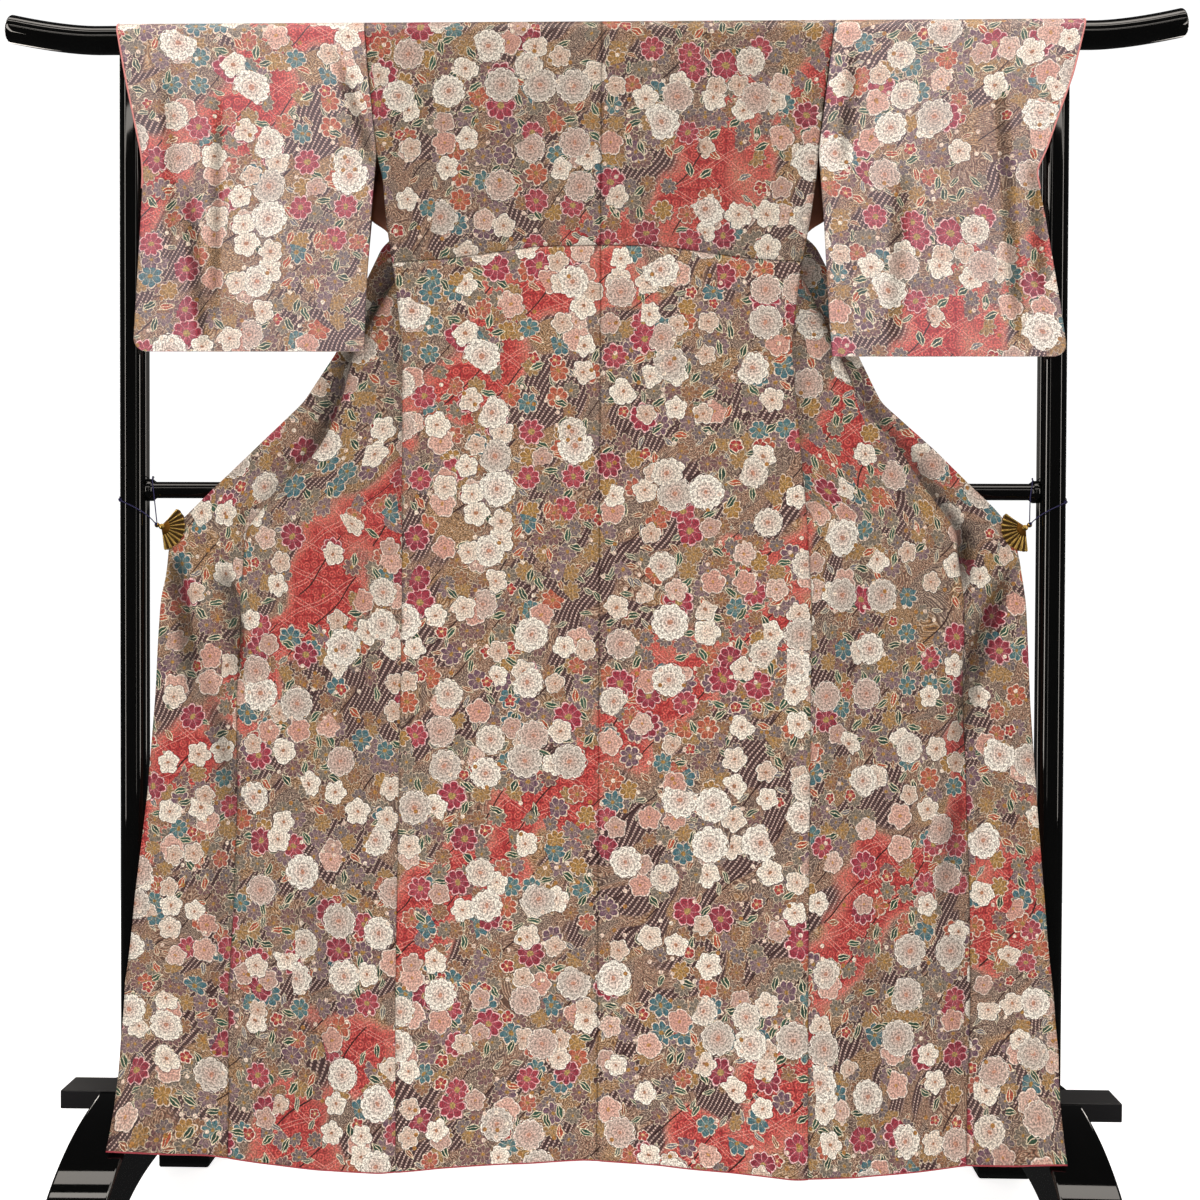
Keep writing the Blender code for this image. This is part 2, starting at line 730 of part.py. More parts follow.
def build_sleeve(side, silk):
    """A sleeve: one wall on the viewer's side, one behind the rod, parted on the fold."""
    bottom = SLEEVE_BOTTOM[side]
    sign = SIDES[side]
    hanging = spaced(ROD_Z, bottom + SLEEVE_CORNER, SLEEVE_ROWS)
    hanging += [bottom + SLEEVE_CORNER * share for share in (0.6, 0.3, 0.1, 0.0)]
    near, far = [], []
    for distance in spaced(SHOULDER_START, SHOULDER_ARC, SHOULDER_ROWS)[:-1]:
        near_depth, z = over_rod(distance, False)
        inner, outer = sleeve_edges(side, z, bottom)
        places = spaced(inner, outer, SLEEVE_COLUMNS)
        near.append([garment_point(side, x, near_depth, z) for x in places])
        limit = sign * (sign * WRIST_LIMIT[0][1] - CENTRE_X)
        outer += (min(outer, limit) - outer) * distance / SHOULDER_ARC
        places = spaced(inner, outer, SLEEVE_COLUMNS)
        far.append([garment_point(side, x, -near_depth, z) for x in places])
    for z in hanging:
        inner, outer = sleeve_edges(side, z, bottom)
        depth = lookup(DEPTHS, z, 1)
        places = spaced(inner, outer, SLEEVE_COLUMNS)
        near.append([garment_point(side, x, depth, z) for x in places])
        limit = sign * (sign * lookup(WRIST_LIMIT, z, 1) - CENTRE_X)
        outer = min(outer, limit)
        inner_depth = lookup(FAR_SLEEVE_DEPTHS, z, 1)
        outer_depth = lookup(FAR_SLEEVE_DEPTHS, z, 2)
        row = []
        for share in spaced(0.0, 1.0, SLEEVE_COLUMNS):
            depth = inner_depth + (outer_depth - inner_depth) * share ** WRIST_SWING_POWER
            row.append(garment_point(side, inner + (outer - inner) * share, depth, z))
        far.append(row)
    add_cloth("sleeve_" + side + "_back", near, silk, side == "right")
    add_cloth("sleeve_" + side + "_front", far, silk, side == "left")


def fan_outline(middle):
    """Outline of a fan clip around its pivot, scalloped between the ribs."""
    outline = []
    half = FAN_OPENING / 2
    steps = 2 * FAN_RIBS
    for i in range(steps + 1):
        angle = middle - half + FAN_OPENING * i / steps
        radius = FAN_RADIUS if i % 2 else FAN_RADIUS - FAN_SCALLOP
        outline.append((radius * math.cos(angle), radius * math.sin(angle)))
    heel = 2 * math.pi - FAN_OPENING
    for i in range(1, 7):
        angle = middle + half + heel * i / 7
        outline.append((FAN_HEEL * math.cos(angle), FAN_HEEL * math.sin(angle)))
    return outline


def build_clip(side, metal, cord):
    """Two fan plates with the front edge between them, a pin, a bead and the cord's loop."""
    x, z, degrees = CLIPS[side]
    sign = SIDES[side]
    middle = math.radians(degrees)
    outline = fan_outline(middle)
    face_y = CLIP_CLOTH_FRONT - GAP - FAN_PLATE / 2
    rear_y = CLIP_CLOTH_BACK + GAP + FAN_PLATE / 2
    for name, depth in (("face", face_y), ("rear", rear_y)):
        jaw = plate("clip_" + side + "_" + name, outline, FAN_PLATE, 0.0, metal)
        jaw.location = (x, depth, z)
    pin_mesh = bpy.data.meshes.new("clip_pin")
    bm = bmesh.new()
    room = CLIP_CLOTH_BACK - CLIP_CLOTH_FRONT
    bmesh.ops.create_cone(
        bm, cap_ends=True, segments=12, radius1=PIN_RADIUS, radius2=PIN_RADIUS, depth=room,
        matrix=Matrix.Rotation(math.radians(90), 4, "X"))
    bm.to_mesh(pin_mesh)
    bm.free()
    pin = add_object("clip_" + side + "_pin", pin_mesh, metal)
    pin.location = (x, (CLIP_CLOTH_FRONT + CLIP_CLOTH_BACK) / 2, z)
    bead_mesh = bpy.data.meshes.new("clip_bead")
    bm = bmesh.new()
    bmesh.ops.create_uvsphere(bm, u_segments=10, v_segments=6, radius=BEAD_RADIUS)
    bm.to_mesh(bead_mesh)
    bm.free()
    bead = add_object("clip_" + side + "_bead", bead_mesh, metal)
    reach = FAN_HEEL + BEAD_RADIUS + GAP
    seat = Vector((
        x - reach * math.cos(middle), (CLIP_CLOTH_FRONT + CLIP_CLOTH_BACK) / 2,
        z - reach * math.sin(middle)))
    bead.location = seat
    route = [Vector((sign * px, py, pz)) for px, py, pz in CORD_ROUTE]
    for end, neighbour in ((0, 1), (-1, -2)):
        toward = (route[neighbour] - seat).normalized()
        route[end] = seat + toward * (BEAD_RADIUS + CORD_RADIUS)
    tube("tether_" + side, route, CORD_RADIUS, 2, cord)


for old in list(bpy.data.objects):
    bpy.data.objects.remove(old)

collection = bpy.data.collections.new("kimono_on_stand")
cutters = bpy.data.collections.new("cutters")
bpy.context.scene.collection.children.link(collection)
bpy.context.scene.collection.children.link(cutters)

lacquer_black = new_material("lacquer_black", (0.004, 0.004, 0.004), 0.08)
satin_black = new_material("satin_black", (0.012, 0.012, 0.013), 0.35)
silk_print = new_material("silk_print", (0.42, 0.26, 0.20), 0.62)
brass = new_material("brass", (0.48, 0.30, 0.07), 0.35, 1.0)
cord_navy = new_material("cord_navy", (0.012, 0.010, 0.07), 0.7)

build_rod(lacquer_black)
build_posts(lacquer_black)
build_rail(lacquer_black)
build_bar(satin_black)
build_feet(lacquer_black)
for side_name in SIDES:
    build_back(side_name, silk_print)
    build_front(side_name, silk_print)
    build_okumi(side_name, silk_print)
    build_collar(side_name, silk_print)
    build_sleeve(side_name, silk_print)
    build_clip(side_name, brass, cord_navy)
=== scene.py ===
# %% [markdown]
# This lesson dresses a rigid model of a kimono on its stand. The garment is spread back
# outwards: the back panels hang in front of the rod, the fronts hang behind it and then open
# outwards at the side seams, and a fan clip holds each front edge beside a post. The packed
# model gives every place and size, so each piece here is worked out in the same frame.

import math

import bmesh
import bpy
import numpy as np
from mathutils import Matrix, Vector, noise


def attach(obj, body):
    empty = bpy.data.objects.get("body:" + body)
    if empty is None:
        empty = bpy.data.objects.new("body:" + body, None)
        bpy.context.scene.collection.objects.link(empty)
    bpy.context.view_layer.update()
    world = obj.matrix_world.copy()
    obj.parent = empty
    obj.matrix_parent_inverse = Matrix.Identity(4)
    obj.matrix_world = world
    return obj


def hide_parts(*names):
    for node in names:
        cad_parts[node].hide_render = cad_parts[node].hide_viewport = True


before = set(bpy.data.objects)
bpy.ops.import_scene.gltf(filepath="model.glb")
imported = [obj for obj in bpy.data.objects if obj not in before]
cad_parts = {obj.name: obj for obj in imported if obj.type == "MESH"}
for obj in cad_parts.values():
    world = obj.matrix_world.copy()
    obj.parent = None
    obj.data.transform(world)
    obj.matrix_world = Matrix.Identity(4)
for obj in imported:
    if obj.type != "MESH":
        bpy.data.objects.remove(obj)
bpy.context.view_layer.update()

# %% [markdown]
# The camera stands where the photograph was taken from: a little right of the middle, 92 cm
# above the floor and nearly two metres away, turned slightly left and down. Its lens comes from
# the field of view that fits the stand's posts, rod and feet.

# %% Camera
PHOTO_SIDE = 1200.0
FOCAL_PIXELS = 1363.4
SENSOR_MM = 36.0
eye = Vector((0.0604, -1.900, 0.9241))
forward = Vector((-0.02367, 0.99960, -0.01567)).normalized()
roll = math.radians(0.225)
level_right = forward.cross(Vector((0, 0, 1))).normalized()
level_up = level_right.cross(forward)
right = level_right * math.cos(roll) + level_up * math.sin(roll)
up = level_up * math.cos(roll) - level_right * math.sin(roll)

camera_data = bpy.data.cameras.new("camera")
camera_data.sensor_width = SENSOR_MM
camera_data.lens = FOCAL_PIXELS / PHOTO_SIDE * SENSOR_MM
camera = bpy.data.objects.new("camera", camera_data)
bpy.context.scene.collection.objects.link(camera)
camera.matrix_world = Matrix.Translation(eye) @ Matrix((right, up, -forward)).transposed().to_4x4()
bpy.context.scene.camera = camera
print("lens", round(camera_data.lens, 1), "mm")

# %% [markdown]
# A kimono is cut from straight lengths, so a few sizes give the whole garment: how it wraps the
# rod, how wide each length is sewn, and between which heights the spread front edge rolls over.
# They are the same named sizes as in the solids.

# %% Sizes of the garment
SIDES = {"left": -1, "right": 1}
COLUMN = {"left": 1, "right": 2}
ROD_RADIUS = 0.019
ROD_Z = 1.673
ROD_CLEAR = 0.0008
GAP = 0.0001
WALL = 0.0016
CENTRE_X = 0.015
WRAP_RADIUS = ROD_RADIUS + ROD_CLEAR + WALL / 2
SHOULDER_ARC = WRAP_RADIUS * math.pi / 2
SHOULDER_START = 0.0005
SHOULDER_ROWS = 9
BACK_WIDTH = 0.280
FRONT_WIDTH = 0.245
FRONT_FOLD_ARC = 0.023
SIDE_SEAM_INSET = 0.0010
COLLAR_END = 1.000
NECK_CORNER_Z = 1.645
NECK_TAPER = 0.93
ROLL_STARTS, ROLL_FADES, ROLL_GONE = 1.500, 1.140, 0.900
ROLL_SHORTEST_RUN = 0.080
ROLLED_SEAM_GAP = 0.0012
SLEEVE_BOTTOM = {"left": 1.236, "right": 1.229}
SLEEVE_CORNER = 0.018
WRIST_SWING_POWER = 2.5
HEM_MEAN = 0.125
HEM_BLEND_FROM = 0.50
PUSH_FROM, PUSH_POWER = 0.42, 2.2
print("shoulder arc", round(SHOULDER_ARC * 1000, 1), "mm")

# %% [markdown]
# The outline could be a long list of points, but a garment is better told as short tables: how
# far each edge lies from the centre seam at a few heights, how deep each layer hangs, and where
# the hem and the tuck run. One row is one thing that can be measured on the photograph.

# %% Tables of the outline
# Back of the body: height, half width on the left, half width on the right.
BACK_EDGE = [
    (1.694, 0.328, 0.32), (1.578, 0.317, 0.304), (1.508, 0.309, 0.297), (1.472, 0.3, 0.294),
    (1.42, 0.296, 0.287), (1.392, 0.292, 0.282), (1.333, 0.283, 0.271), (1.237, 0.272, 0.262),
    (1.1, 0.272, 0.275), (1.018, 0.272, 0.283), (0.895, 0.272, 0.291), (0.62, 0.276, 0.29),
    (0.343, 0.28, 0.289), (0.1, 0.278, 0.29)]
# Side edge of the front in the armhole: height, how far it stands outside the back's edge.
ARMHOLE_SPREAD = [
    (1.508, 0.0), (1.49, 0.012), (1.469, 0.021), (1.448, 0.027), (1.436, 0.03), (1.424, 0.03),
    (1.402, 0.0)]
# Front edge of the spread garment, collar above and okumi below: height, left, right.
FRONT_EDGE = [
    (1.645, 0.022, 0.012), (1.39, 0.309, 0.3), (1.333, 0.333, 0.326), (1.237, 0.369, 0.354),
    (1.168, 0.412, 0.387), (1.1, 0.482, 0.462), (1.056, 0.528, 0.506), (1.018, 0.566, 0.545),
    (0.99, 0.594, 0.566), (0.95, 0.601, 0.576), (0.895, 0.607, 0.583), (0.757, 0.615, 0.589),
    (0.62, 0.626, 0.599), (0.482, 0.643, 0.611), (0.343, 0.655, 0.622), (0.25, 0.651, 0.621),
    (0.125, 0.635, 0.604)]
# Width of the strip beyond the front's seam, collar or okumi: height, left, right.
STRIP_WIDTH = [
    (1.645, 0.055, 0.055), (1.39, 0.05, 0.05), (1.237, 0.026, 0.026), (1.168, 0.053, 0.03),
    (1.1, 0.093, 0.05), (1.018, 0.116, 0.092), (0.895, 0.118, 0.098), (0.757, 0.12, 0.102),
    (0.482, 0.148, 0.112), (0.232, 0.15, 0.13), (0.1, 0.142, 0.126)]
# Sleeves: height, outer edge left and right, inner edge left and right.
SLEEVE_EDGES = [
    (1.694, 0.672, 0.66, 0.328, 0.32), (1.615, 0.657, 0.641, 0.321, 0.31),
    (1.508, 0.634, 0.604, 0.309, 0.297), (1.482, 0.632, 0.592, 0.311, 0.299),
    (1.42, 0.635, 0.604, 0.316, 0.304), (1.3, 0.642, 0.625, 0.323, 0.311),
    (1.226, 0.646, 0.636, 0.325, 0.317)]
# Depth of the hanging layers: height, back, side edge of the front, front edge of the front.
DEPTHS = [
    (1.673, -WRAP_RADIUS, WRAP_RADIUS, WRAP_RADIUS), (1.508, -0.0235, 0.0185, 0.03),
    (1.44, -0.0245, 0.01, 0.028), (1.385, -0.025, -0.0231, 0.021), (1.3, -0.0258, -0.0239, 0.004),
    (1.237, -0.0264, -0.0245, -0.007), (1.1, -0.0275, -0.0256, -0.015),
    (1.046, -0.0278, -0.0259, -0.0156), (1.03, -0.0279, -0.026, -0.0185),
    (0.955, -0.0282, -0.0263, -0.0185), (0.88, -0.0286, -0.0267, -0.025),
    (0.5, -0.0305, -0.0286, -0.029), (0.2, -0.0325, -0.0306, -0.031), (0.09, -0.0335, -0.0316, -0.032)]
# Depth of the sleeve's far wall: height, at its inner edge, at its wrist edge.
FAR_SLEEVE_DEPTHS = [
    (1.673, WRAP_RADIUS, WRAP_RADIUS), (1.605, 0.02, 0.0206), (1.55, 0.019, 0.002),
    (1.508, 0.0185, -0.017), (1.49, 0.0178, -0.0218), (1.42, 0.013, -0.0227), (1.35, 0.003, -0.0234),
    (1.3, -0.008, -0.0238), (1.25, -0.021, -0.0243), (1.226, -0.0245, -0.0245)]
# How far out the far wall's wrist edge reaches: height, distance from the stand's middle.
WRIST_LIMIT = [
    (1.673, 0.655), (1.645, 0.64), (1.605, 0.614), (1.49, 0.614), (1.47, 0.66)]
# Hem: distance from the stand's middle, height, how far it is pushed forward.
HEM = [
    (0.0, 0.127, 0.008), (0.1, 0.123, 0.011), (0.2, 0.112, 0.007), (0.285, 0.101, 0.003),
    (0.37, 0.107, 0.009), (0.45, 0.123, 0.024), (0.51, 0.14, 0.042), (0.565, 0.162, 0.092),
    (0.59, 0.177, 0.123), (0.68, 0.18, 0.126)]
# Seam of the tuck across the back: distance from the centre seam, height.
TUCK = [
    (0.0, 1.382), (0.085, 1.38), (0.2, 1.364), (0.3, 1.357)]
print("tables", len(BACK_EDGE) + len(FRONT_EDGE) + len(STRIP_WIDTH) + len(DEPTHS), "rows")

# %% [markdown]
# Between its rows a table is read on a straight line that is then softened over a couple of
# centimetres, because cloth has no corners there. A spline could overshoot between far rows.

# %% Reading a table
SOFTENING = 0.012
TABLE_STEP = 0.002
TABLE_MARGIN = 0.05
softened = {}


def lookup(table, key, column):
    """A column of a table at a key: straight between its rows, then softened."""
    name = (id(table), column)
    if name not in softened:
        rows = sorted(table)
        keys = np.arange(rows[0][0] - TABLE_MARGIN, rows[-1][0] + TABLE_MARGIN, TABLE_STEP)
        values = np.interp(keys, [row[0] for row in rows], [row[column] for row in rows])
        half = int(SOFTENING / TABLE_STEP)
        window = np.hanning(2 * half + 3)
        padded = np.pad(values, half + 1, mode="edge")
        softened[name] = (keys, np.convolve(padded, window / window.sum(), mode="valid"))
    keys, values = softened[name]
    return float(np.interp(key, keys, values))


def smooth(value):
    """A soft step from 0 to 1."""
    value = min(1.0, max(0.0, value))
    return value * value * (3.0 - 2.0 * value)


def spaced(first, last, count):
    return [first + (last - first) * i / (count - 1) for i in range(count)]


print("hem height in the middle", round(lookup(HEM, 0.0, 1), 3), "m")

# %% [markdown]
# Silk on a stand keeps soft creases: long troughs from the shoulders, folds that run down from
# the clips, and fine ones from lying folded. Cloth simulation would lose the photograph's own
# creases, so each is given as a line with a width and a depth that fades at its ends.

# %% Creases
# Folds as the solids have them: x and z of one end, x and z of the other, width, depth.
FOLDS = {
    "left": [
        (0.578, 0.93, 0.56, 0.8, 0.022, 0.006), (0.51, 0.94, 0.54, 0.88, 0.022, 0.004),
        (0.11, 0.45, 0.1, 0.15, 0.04, -0.006)],
    "right": [
        (0.545, 0.9, 0.52, 0.79, 0.024, 0.007), (0.49, 0.94, 0.48, 0.88, 0.022, 0.004),
        (0.12, 0.43, 0.13, 0.15, 0.04, -0.006)]}
# Finer folds of the panels that show.
FINE_FOLDS = {
    "left": [
        (0.24, 1.33, 0.25, 0.94, 0.016, -0.0014), (0.15, 1.3, 0.175, 1.06, 0.02, -0.0012),
        (0.06, 1.18, 0.075, 0.7, 0.024, 0.0014), (0.215, 0.86, 0.205, 0.42, 0.03, -0.0018),
        (0.345, 1.06, 0.33, 0.7, 0.024, 0.0022), (0.43, 1.0, 0.45, 0.56, 0.026, -0.0026),
        (0.395, 0.48, 0.38, 0.15, 0.03, 0.003), (0.52, 0.7, 0.53, 0.3, 0.026, 0.0034),
        (0.6, 0.76, 0.61, 0.26, 0.018, -0.0024), (0.18, 1.29, 0.19, 1.17, 0.012, -0.0016)],
    "right": [
        (0.194, 1.31, 0.19, 1.18, 0.01, -0.0026), (0.235, 1.26, 0.25, 0.98, 0.018, -0.0016),
        (0.07, 1.22, 0.085, 0.86, 0.026, 0.0014), (0.205, 0.88, 0.22, 0.33, 0.03, -0.002),
        (0.35, 1.05, 0.345, 0.64, 0.026, 0.0024), (0.42, 0.93, 0.425, 0.42, 0.024, -0.0028),
        (0.49, 0.72, 0.5, 0.24, 0.026, 0.0034), (0.57, 0.8, 0.585, 0.33, 0.018, -0.0026),
        (0.38, 0.43, 0.37, 0.15, 0.03, 0.0028)]}
# Folds of the fronts behind the rod, which the viewer doesn't see.
HIDDEN_FOLDS = {
    "left": [
        (0.21, 1.6, 0.19, 1.43, 0.02, 0.0034), (0.12, 1.59, 0.135, 1.41, 0.022, -0.0026),
        (0.06, 1.56, 0.07, 1.43, 0.018, 0.0022)],
    "right": [
        (0.19, 1.61, 0.205, 1.44, 0.022, 0.0032), (0.1, 1.58, 0.095, 1.4, 0.02, -0.0024),
        (0.15, 1.54, 0.155, 1.42, 0.014, 0.002)]}
FOLD_OVERRUN = 0.35
FOLD_FADE = 0.50


def crease(side, x, z, folds):
    """How far folds push the cloth away from the viewer."""
    total = 0.0
    for x0, z0, x1, z1, width, depth in folds[side]:
        if abs(x - x0) > 5 * width + abs(x1 - x0):
            continue
        along = (z - z0) / (z1 - z0)
        window = smooth((along + FOLD_OVERRUN) / FOLD_FADE)
        window *= smooth((1.0 + FOLD_OVERRUN - along) / FOLD_FADE)
        offset = (x - (x0 + (x1 - x0) * along)) / width
        total += depth * window * math.exp(-offset * offset)
    return total


print("straight folds", {side: len(FOLDS[side] + FINE_FOLDS[side] + HIDDEN_FOLDS[side]) for side in SIDES})

# %% [markdown]
# The deep folds below the clips bend on their way down, so each is a line through a few points,
# with a steep side and a gentle one. Round a clip the cloth fans out in small gathers. Crepe is
# never quite flat between folds, and two sizes of smooth noise give that.

# %% Drape below the clips
# Width inwards, width outwards, depth, then the points from the top down.
DRAPE_LINES = {
    "left": [
        (0.01, 0.013, 0.014,
         (0.592, 0.985), (0.589, 0.918), (0.579, 0.875), (0.572, 0.82), (0.562, 0.7)),
        (0.011, 0.01, -0.007, (0.572, 0.94), (0.56, 0.89), (0.545, 0.83), (0.538, 0.76)),
        (0.008, 0.018, 0.012,
         (0.523, 0.955), (0.52, 0.925), (0.508, 0.893), (0.499, 0.85), (0.494, 0.74)),
        (0.012, 0.016, 0.005, (0.56, 0.84), (0.535, 0.74), (0.5, 0.6), (0.48, 0.5)),
        (0.006, 0.006, -0.003, (0.605, 0.93), (0.608, 0.86), (0.612, 0.76)),
        (0.01, 0.005, -0.003, (0.352, 1.235), (0.358, 1.19), (0.372, 1.13))],
    "right": [
        (0.017, 0.011, 0.014,
         (0.576, 0.965), (0.556, 0.911), (0.54, 0.871), (0.523, 0.825), (0.508, 0.76), (0.49, 0.63)),
        (0.008, 0.01, -0.0045, (0.566, 0.94), (0.56, 0.89), (0.552, 0.82), (0.545, 0.74)),
        (0.006, 0.016, 0.01, (0.5, 1.0), (0.496, 0.955), (0.49, 0.91)),
        (0.01, 0.01, -0.003, (0.52, 0.96), (0.512, 0.9), (0.5, 0.82)),
        (0.013, 0.005, -0.0055, (0.345, 1.23), (0.356, 1.185), (0.38, 1.1)),
        (0.016, 0.012, 0.0045, (0.5, 0.64), (0.47, 0.5), (0.455, 0.4))]}
# Where the clips hold the cloth: distance from the centre seam, height. Gathers run out from here.
CLIP_HOLDS = {"left": (0.608, 0.994), "right": (0.582, 0.996)}
HELD_RADIUS, HELD_FADE = 0.034, 0.022
GATHERS, GATHER_DEPTH, GATHER_REACH = 15.0, 0.0016, 0.085
LINE_FADE_IN, LINE_FADE_OUT = 0.22, 0.55
# Unevenness of the crepe: waves per metre across and down, height, place in the noise.
WAVES = [(9.0, 3.0, 0.0011, 0.0), (34.0, 20.0, 0.00035, 7.0)]
SEED = {"back": 1.0, "front": 5.0, "sleeve": 9.0, "far sleeve": 3.0}


def drape(side, x, z):
    """The creases along lines and the gathers round a clip; the cloth inside the clip stays flat."""
    total = crease(side, x, z, FINE_FOLDS)
    for inward, outward, depth, *points in DRAPE_LINES[side]:
        top, bottom = points[0][1], points[-1][1]
        if not bottom < z < top:
            continue
        offset = x - float(np.interp(-z, [-p[1] for p in points], [p[0] for p in points]))
        offset /= outward if offset > 0.0 else inward
        length = top - bottom
        ends = smooth((top - z) / (LINE_FADE_IN * length))
        ends *= smooth((z - bottom) / (LINE_FADE_OUT * length))
        total += depth * ends * math.exp(-offset * offset)
    away = (CLIP_HOLDS[side][0] - x, z - CLIP_HOLDS[side][1])
    radius = math.hypot(*away)
    turn = math.atan2(away[1], away[0])
    total += GATHER_DEPTH * math.cos(GATHERS * turn) * math.exp(-(radius / GATHER_REACH) ** 2)
    return total * smooth((radius - HELD_RADIUS) / HELD_FADE)


def ripple(x, z, seed):
    """The small unevenness of hanging crepe: long soft waves with shorter ones on them."""
    total = 0.0
    for across, down, height, shift in WAVES:
        total += height * noise.noise(Vector((x * across, z * down, seed + shift)))
    return total


print("curved folds", sum(len(lines) for lines in DRAPE_LINES.values()))

# %% [markdown]
# Last, three things place the flat cut in space: the hem's line lowers or lifts the bottom rows,
# the feet push the hem's corners towards the viewer, and the shoulder goes over the rod as an
# arc. A point is then its side, its distance from the centre seam, its depth and its height.

# %% From the cut to the stand


def from_stand(side, x):
    return abs(SIDES[side] * x + CENTRE_X)


def settle(side, x, z):
    """The height of a point once the hem has its line."""
    share = smooth((HEM_BLEND_FROM - z) / (HEM_BLEND_FROM - HEM_MEAN))
    return z + (lookup(HEM, from_stand(side, x), 1) - HEM_MEAN) * share


def forward_push(side, x, z):
    """How far the feet push the cloth towards the viewer."""
    away = from_stand(side, x)
    share = max(0.0, (PUSH_FROM - z) / (PUSH_FROM - lookup(HEM, away, 1)))
    return lookup(HEM, away, 2) * share ** PUSH_POWER


def garment_point(side, x, depth, z):
    return Vector((CENTRE_X + SIDES[side] * x, depth, z))


def over_rod(distance, far_side):
    """Depth and height at a distance over the rod from its crest; no depth once the cloth hangs."""
    toward = 1.0 if far_side else -1.0
    if distance < SHOULDER_ARC:
        angle = math.pi / 2 - distance / WRAP_RADIUS
        return toward * WRAP_RADIUS * math.cos(angle), ROD_Z + WRAP_RADIUS * math.sin(angle)
    return None, ROD_Z - (distance - SHOULDER_ARC)


print("hem's corner pushed", round(forward_push("left", 0.62, 0.18), 3), "m")

# %% [markdown]
# A finish in Blender is a small graph of nodes. One helper adds every node here: its kind and
# operation are one text, its settings are keywords, and its values fill the sockets that the
# settings leave in use. A value that is another node's output is linked instead.

# %% Node helper and colours


def linear(code):
    """An sRGB hex colour as the linear values that shaders use."""
    parts = [int(code[i:i + 2], 16) / 255 for i in (0, 2, 4)]
    return [c / 12.92 if c <= 0.04045 else ((c + 0.055) / 1.055) ** 2.4 for c in parts] + [1.0]


def put(tree, kind, *values, out=0, **settings):
    """Adds one node and returns one of the outputs in use."""
    kind, *operation = kind.split()
    node = tree.nodes.new("ShaderNode" + kind)
    if operation:
        node.operation = operation[0]
    for name, value in settings.items():
        setattr(node, name, value)
    sockets = [socket for socket in node.inputs if socket.enabled]
    given = values[0].items() if values and isinstance(values[0], dict) else enumerate(values)
    for key, value in given:
        socket = node.inputs[key] if isinstance(key, str) else sockets[key]
        if isinstance(value, bpy.types.NodeSocket):
            tree.links.new(value, socket)
        else:
            socket.default_value = value
    return [socket for socket in node.outputs if socket.enabled][out]


def new_material(name):
    material = bpy.data.materials.new(name)
    material.use_nodes = True
    tree = material.node_tree
    return material, tree, tree.nodes["Principled BSDF"]


TIMES, TIMES_PLUS = "Math MULTIPLY", "Math MULTIPLY_ADD"
BELOW, NEAR = "Math LESS_THAN", "Math COMPARE"
VECTOR_PLUS, VECTOR_MINUS = "VectorMath ADD", "VectorMath SUBTRACT"
VECTOR_TIMES_PLUS = "VectorMath MULTIPLY_ADD"
FLAT = {"noise_dimensions": "2D"}
SOFT = {"interpolation_type": "SMOOTHSTEP"}
BLEND = {"data_type": "RGBA"}
DARKEN = {"data_type": "RGBA", "blend_type": "MULTIPLY"}
print("mid grey is", round(linear("808080")[0], 3))

# %% [markdown]
# The print is built as a printer lays it down, ground first and then each motif in its own
# layer. A layer divides the cloth into cells, puts one flower in each, and gives it its own
# turn. Placing thousands of drawn flowers by hand would be slow; cells need a few nodes.

# %% Silk print: one motif in each cell
REPEAT = 0.70
BAND_SLOPE = 0.95
GROUPS_PER_METRE = 7.0


def motif_cells(tree, cloth, spacing, looseness, shift):
    """Distance and turned angle round the middle of each cell, its random numbers and its middle."""
    moved = put(tree, VECTOR_PLUS, cloth, shift)
    cells = put(tree, "TexVoronoi", {"Vector": moved, "Scale": 1.0 / spacing, "Randomness": looseness},
                voronoi_dimensions="2D").node.outputs
    offset = put(tree, VECTOR_MINUS, moved, cells["Position"])
    part = put(tree, "SeparateXYZ", offset).node.outputs
    chance = put(tree, "SeparateColor", cells["Color"]).node.outputs
    angle = put(tree, "Math ARCTAN2", part[1], part[0])
    turned = put(tree, TIMES_PLUS, chance[2], math.tau, angle)
    middle = put(tree, VECTOR_MINUS, cells["Position"], shift)
    return put(tree, "VectorMath LENGTH", offset), turned, chance, middle


def pick(tree, chance, codes):
    """One of the colours, by a cell's random number."""
    codes = codes.split()
    if len(codes) == 1:
        return linear(codes[0])
    ramp = put(tree, "ValToRGB", chance).node
    ramp.color_ramp.interpolation = "CONSTANT"
    stops = ramp.color_ramp.elements
    while len(stops) < len(codes):
        stops.new(0.5)
    for i, code in enumerate(codes):
        stops[i].position = i / len(codes)
        stops[i].color = linear(code)
    return ramp.outputs[0]


def grouped(tree, middle, chance, share, on_band, seed):
    """Shows a motif in some of the cells only: in groups, and with its own share on the red bands."""
    apart = put(tree, VECTOR_PLUS, middle, (seed, -seed, 0.0))
    crowd = put(tree, "TexNoise", apart, GROUPS_PER_METRE, 0.0, **FLAT)
    limit = put(tree, "MapRange", crowd, 0.34, 0.66, share * 0.15, share * 1.85)
    phase = put(tree, "VectorMath DOT_PRODUCT", middle, (BAND_SLOPE / REPEAT, 1.0 / REPEAT, 0.0))
    near_band = put(tree, "Math PINGPONG", phase, 0.5)
    factor = put(tree, "MapRange", near_band, 0.35, 0.41, 1.0, on_band)
    return put(tree, BELOW, chance, put(tree, TIMES, limit, factor))


print("cells, colours and groups ready")

# %% [markdown]
# A flower is drawn from polar coordinates: the sine of the angle folds it into petals, and the
# distance divided by that scallop is a reach that one compare turns into an outline. Rings set
# turned petals inside each other, as in a peony, and rays give the fine veins of a plum blossom.

# %% Silk print: flowers and leaves
HALO_WIDTH = 0.0026
HALO, LEAF_RIM = linear("3a2420"), linear("e2d6bc")


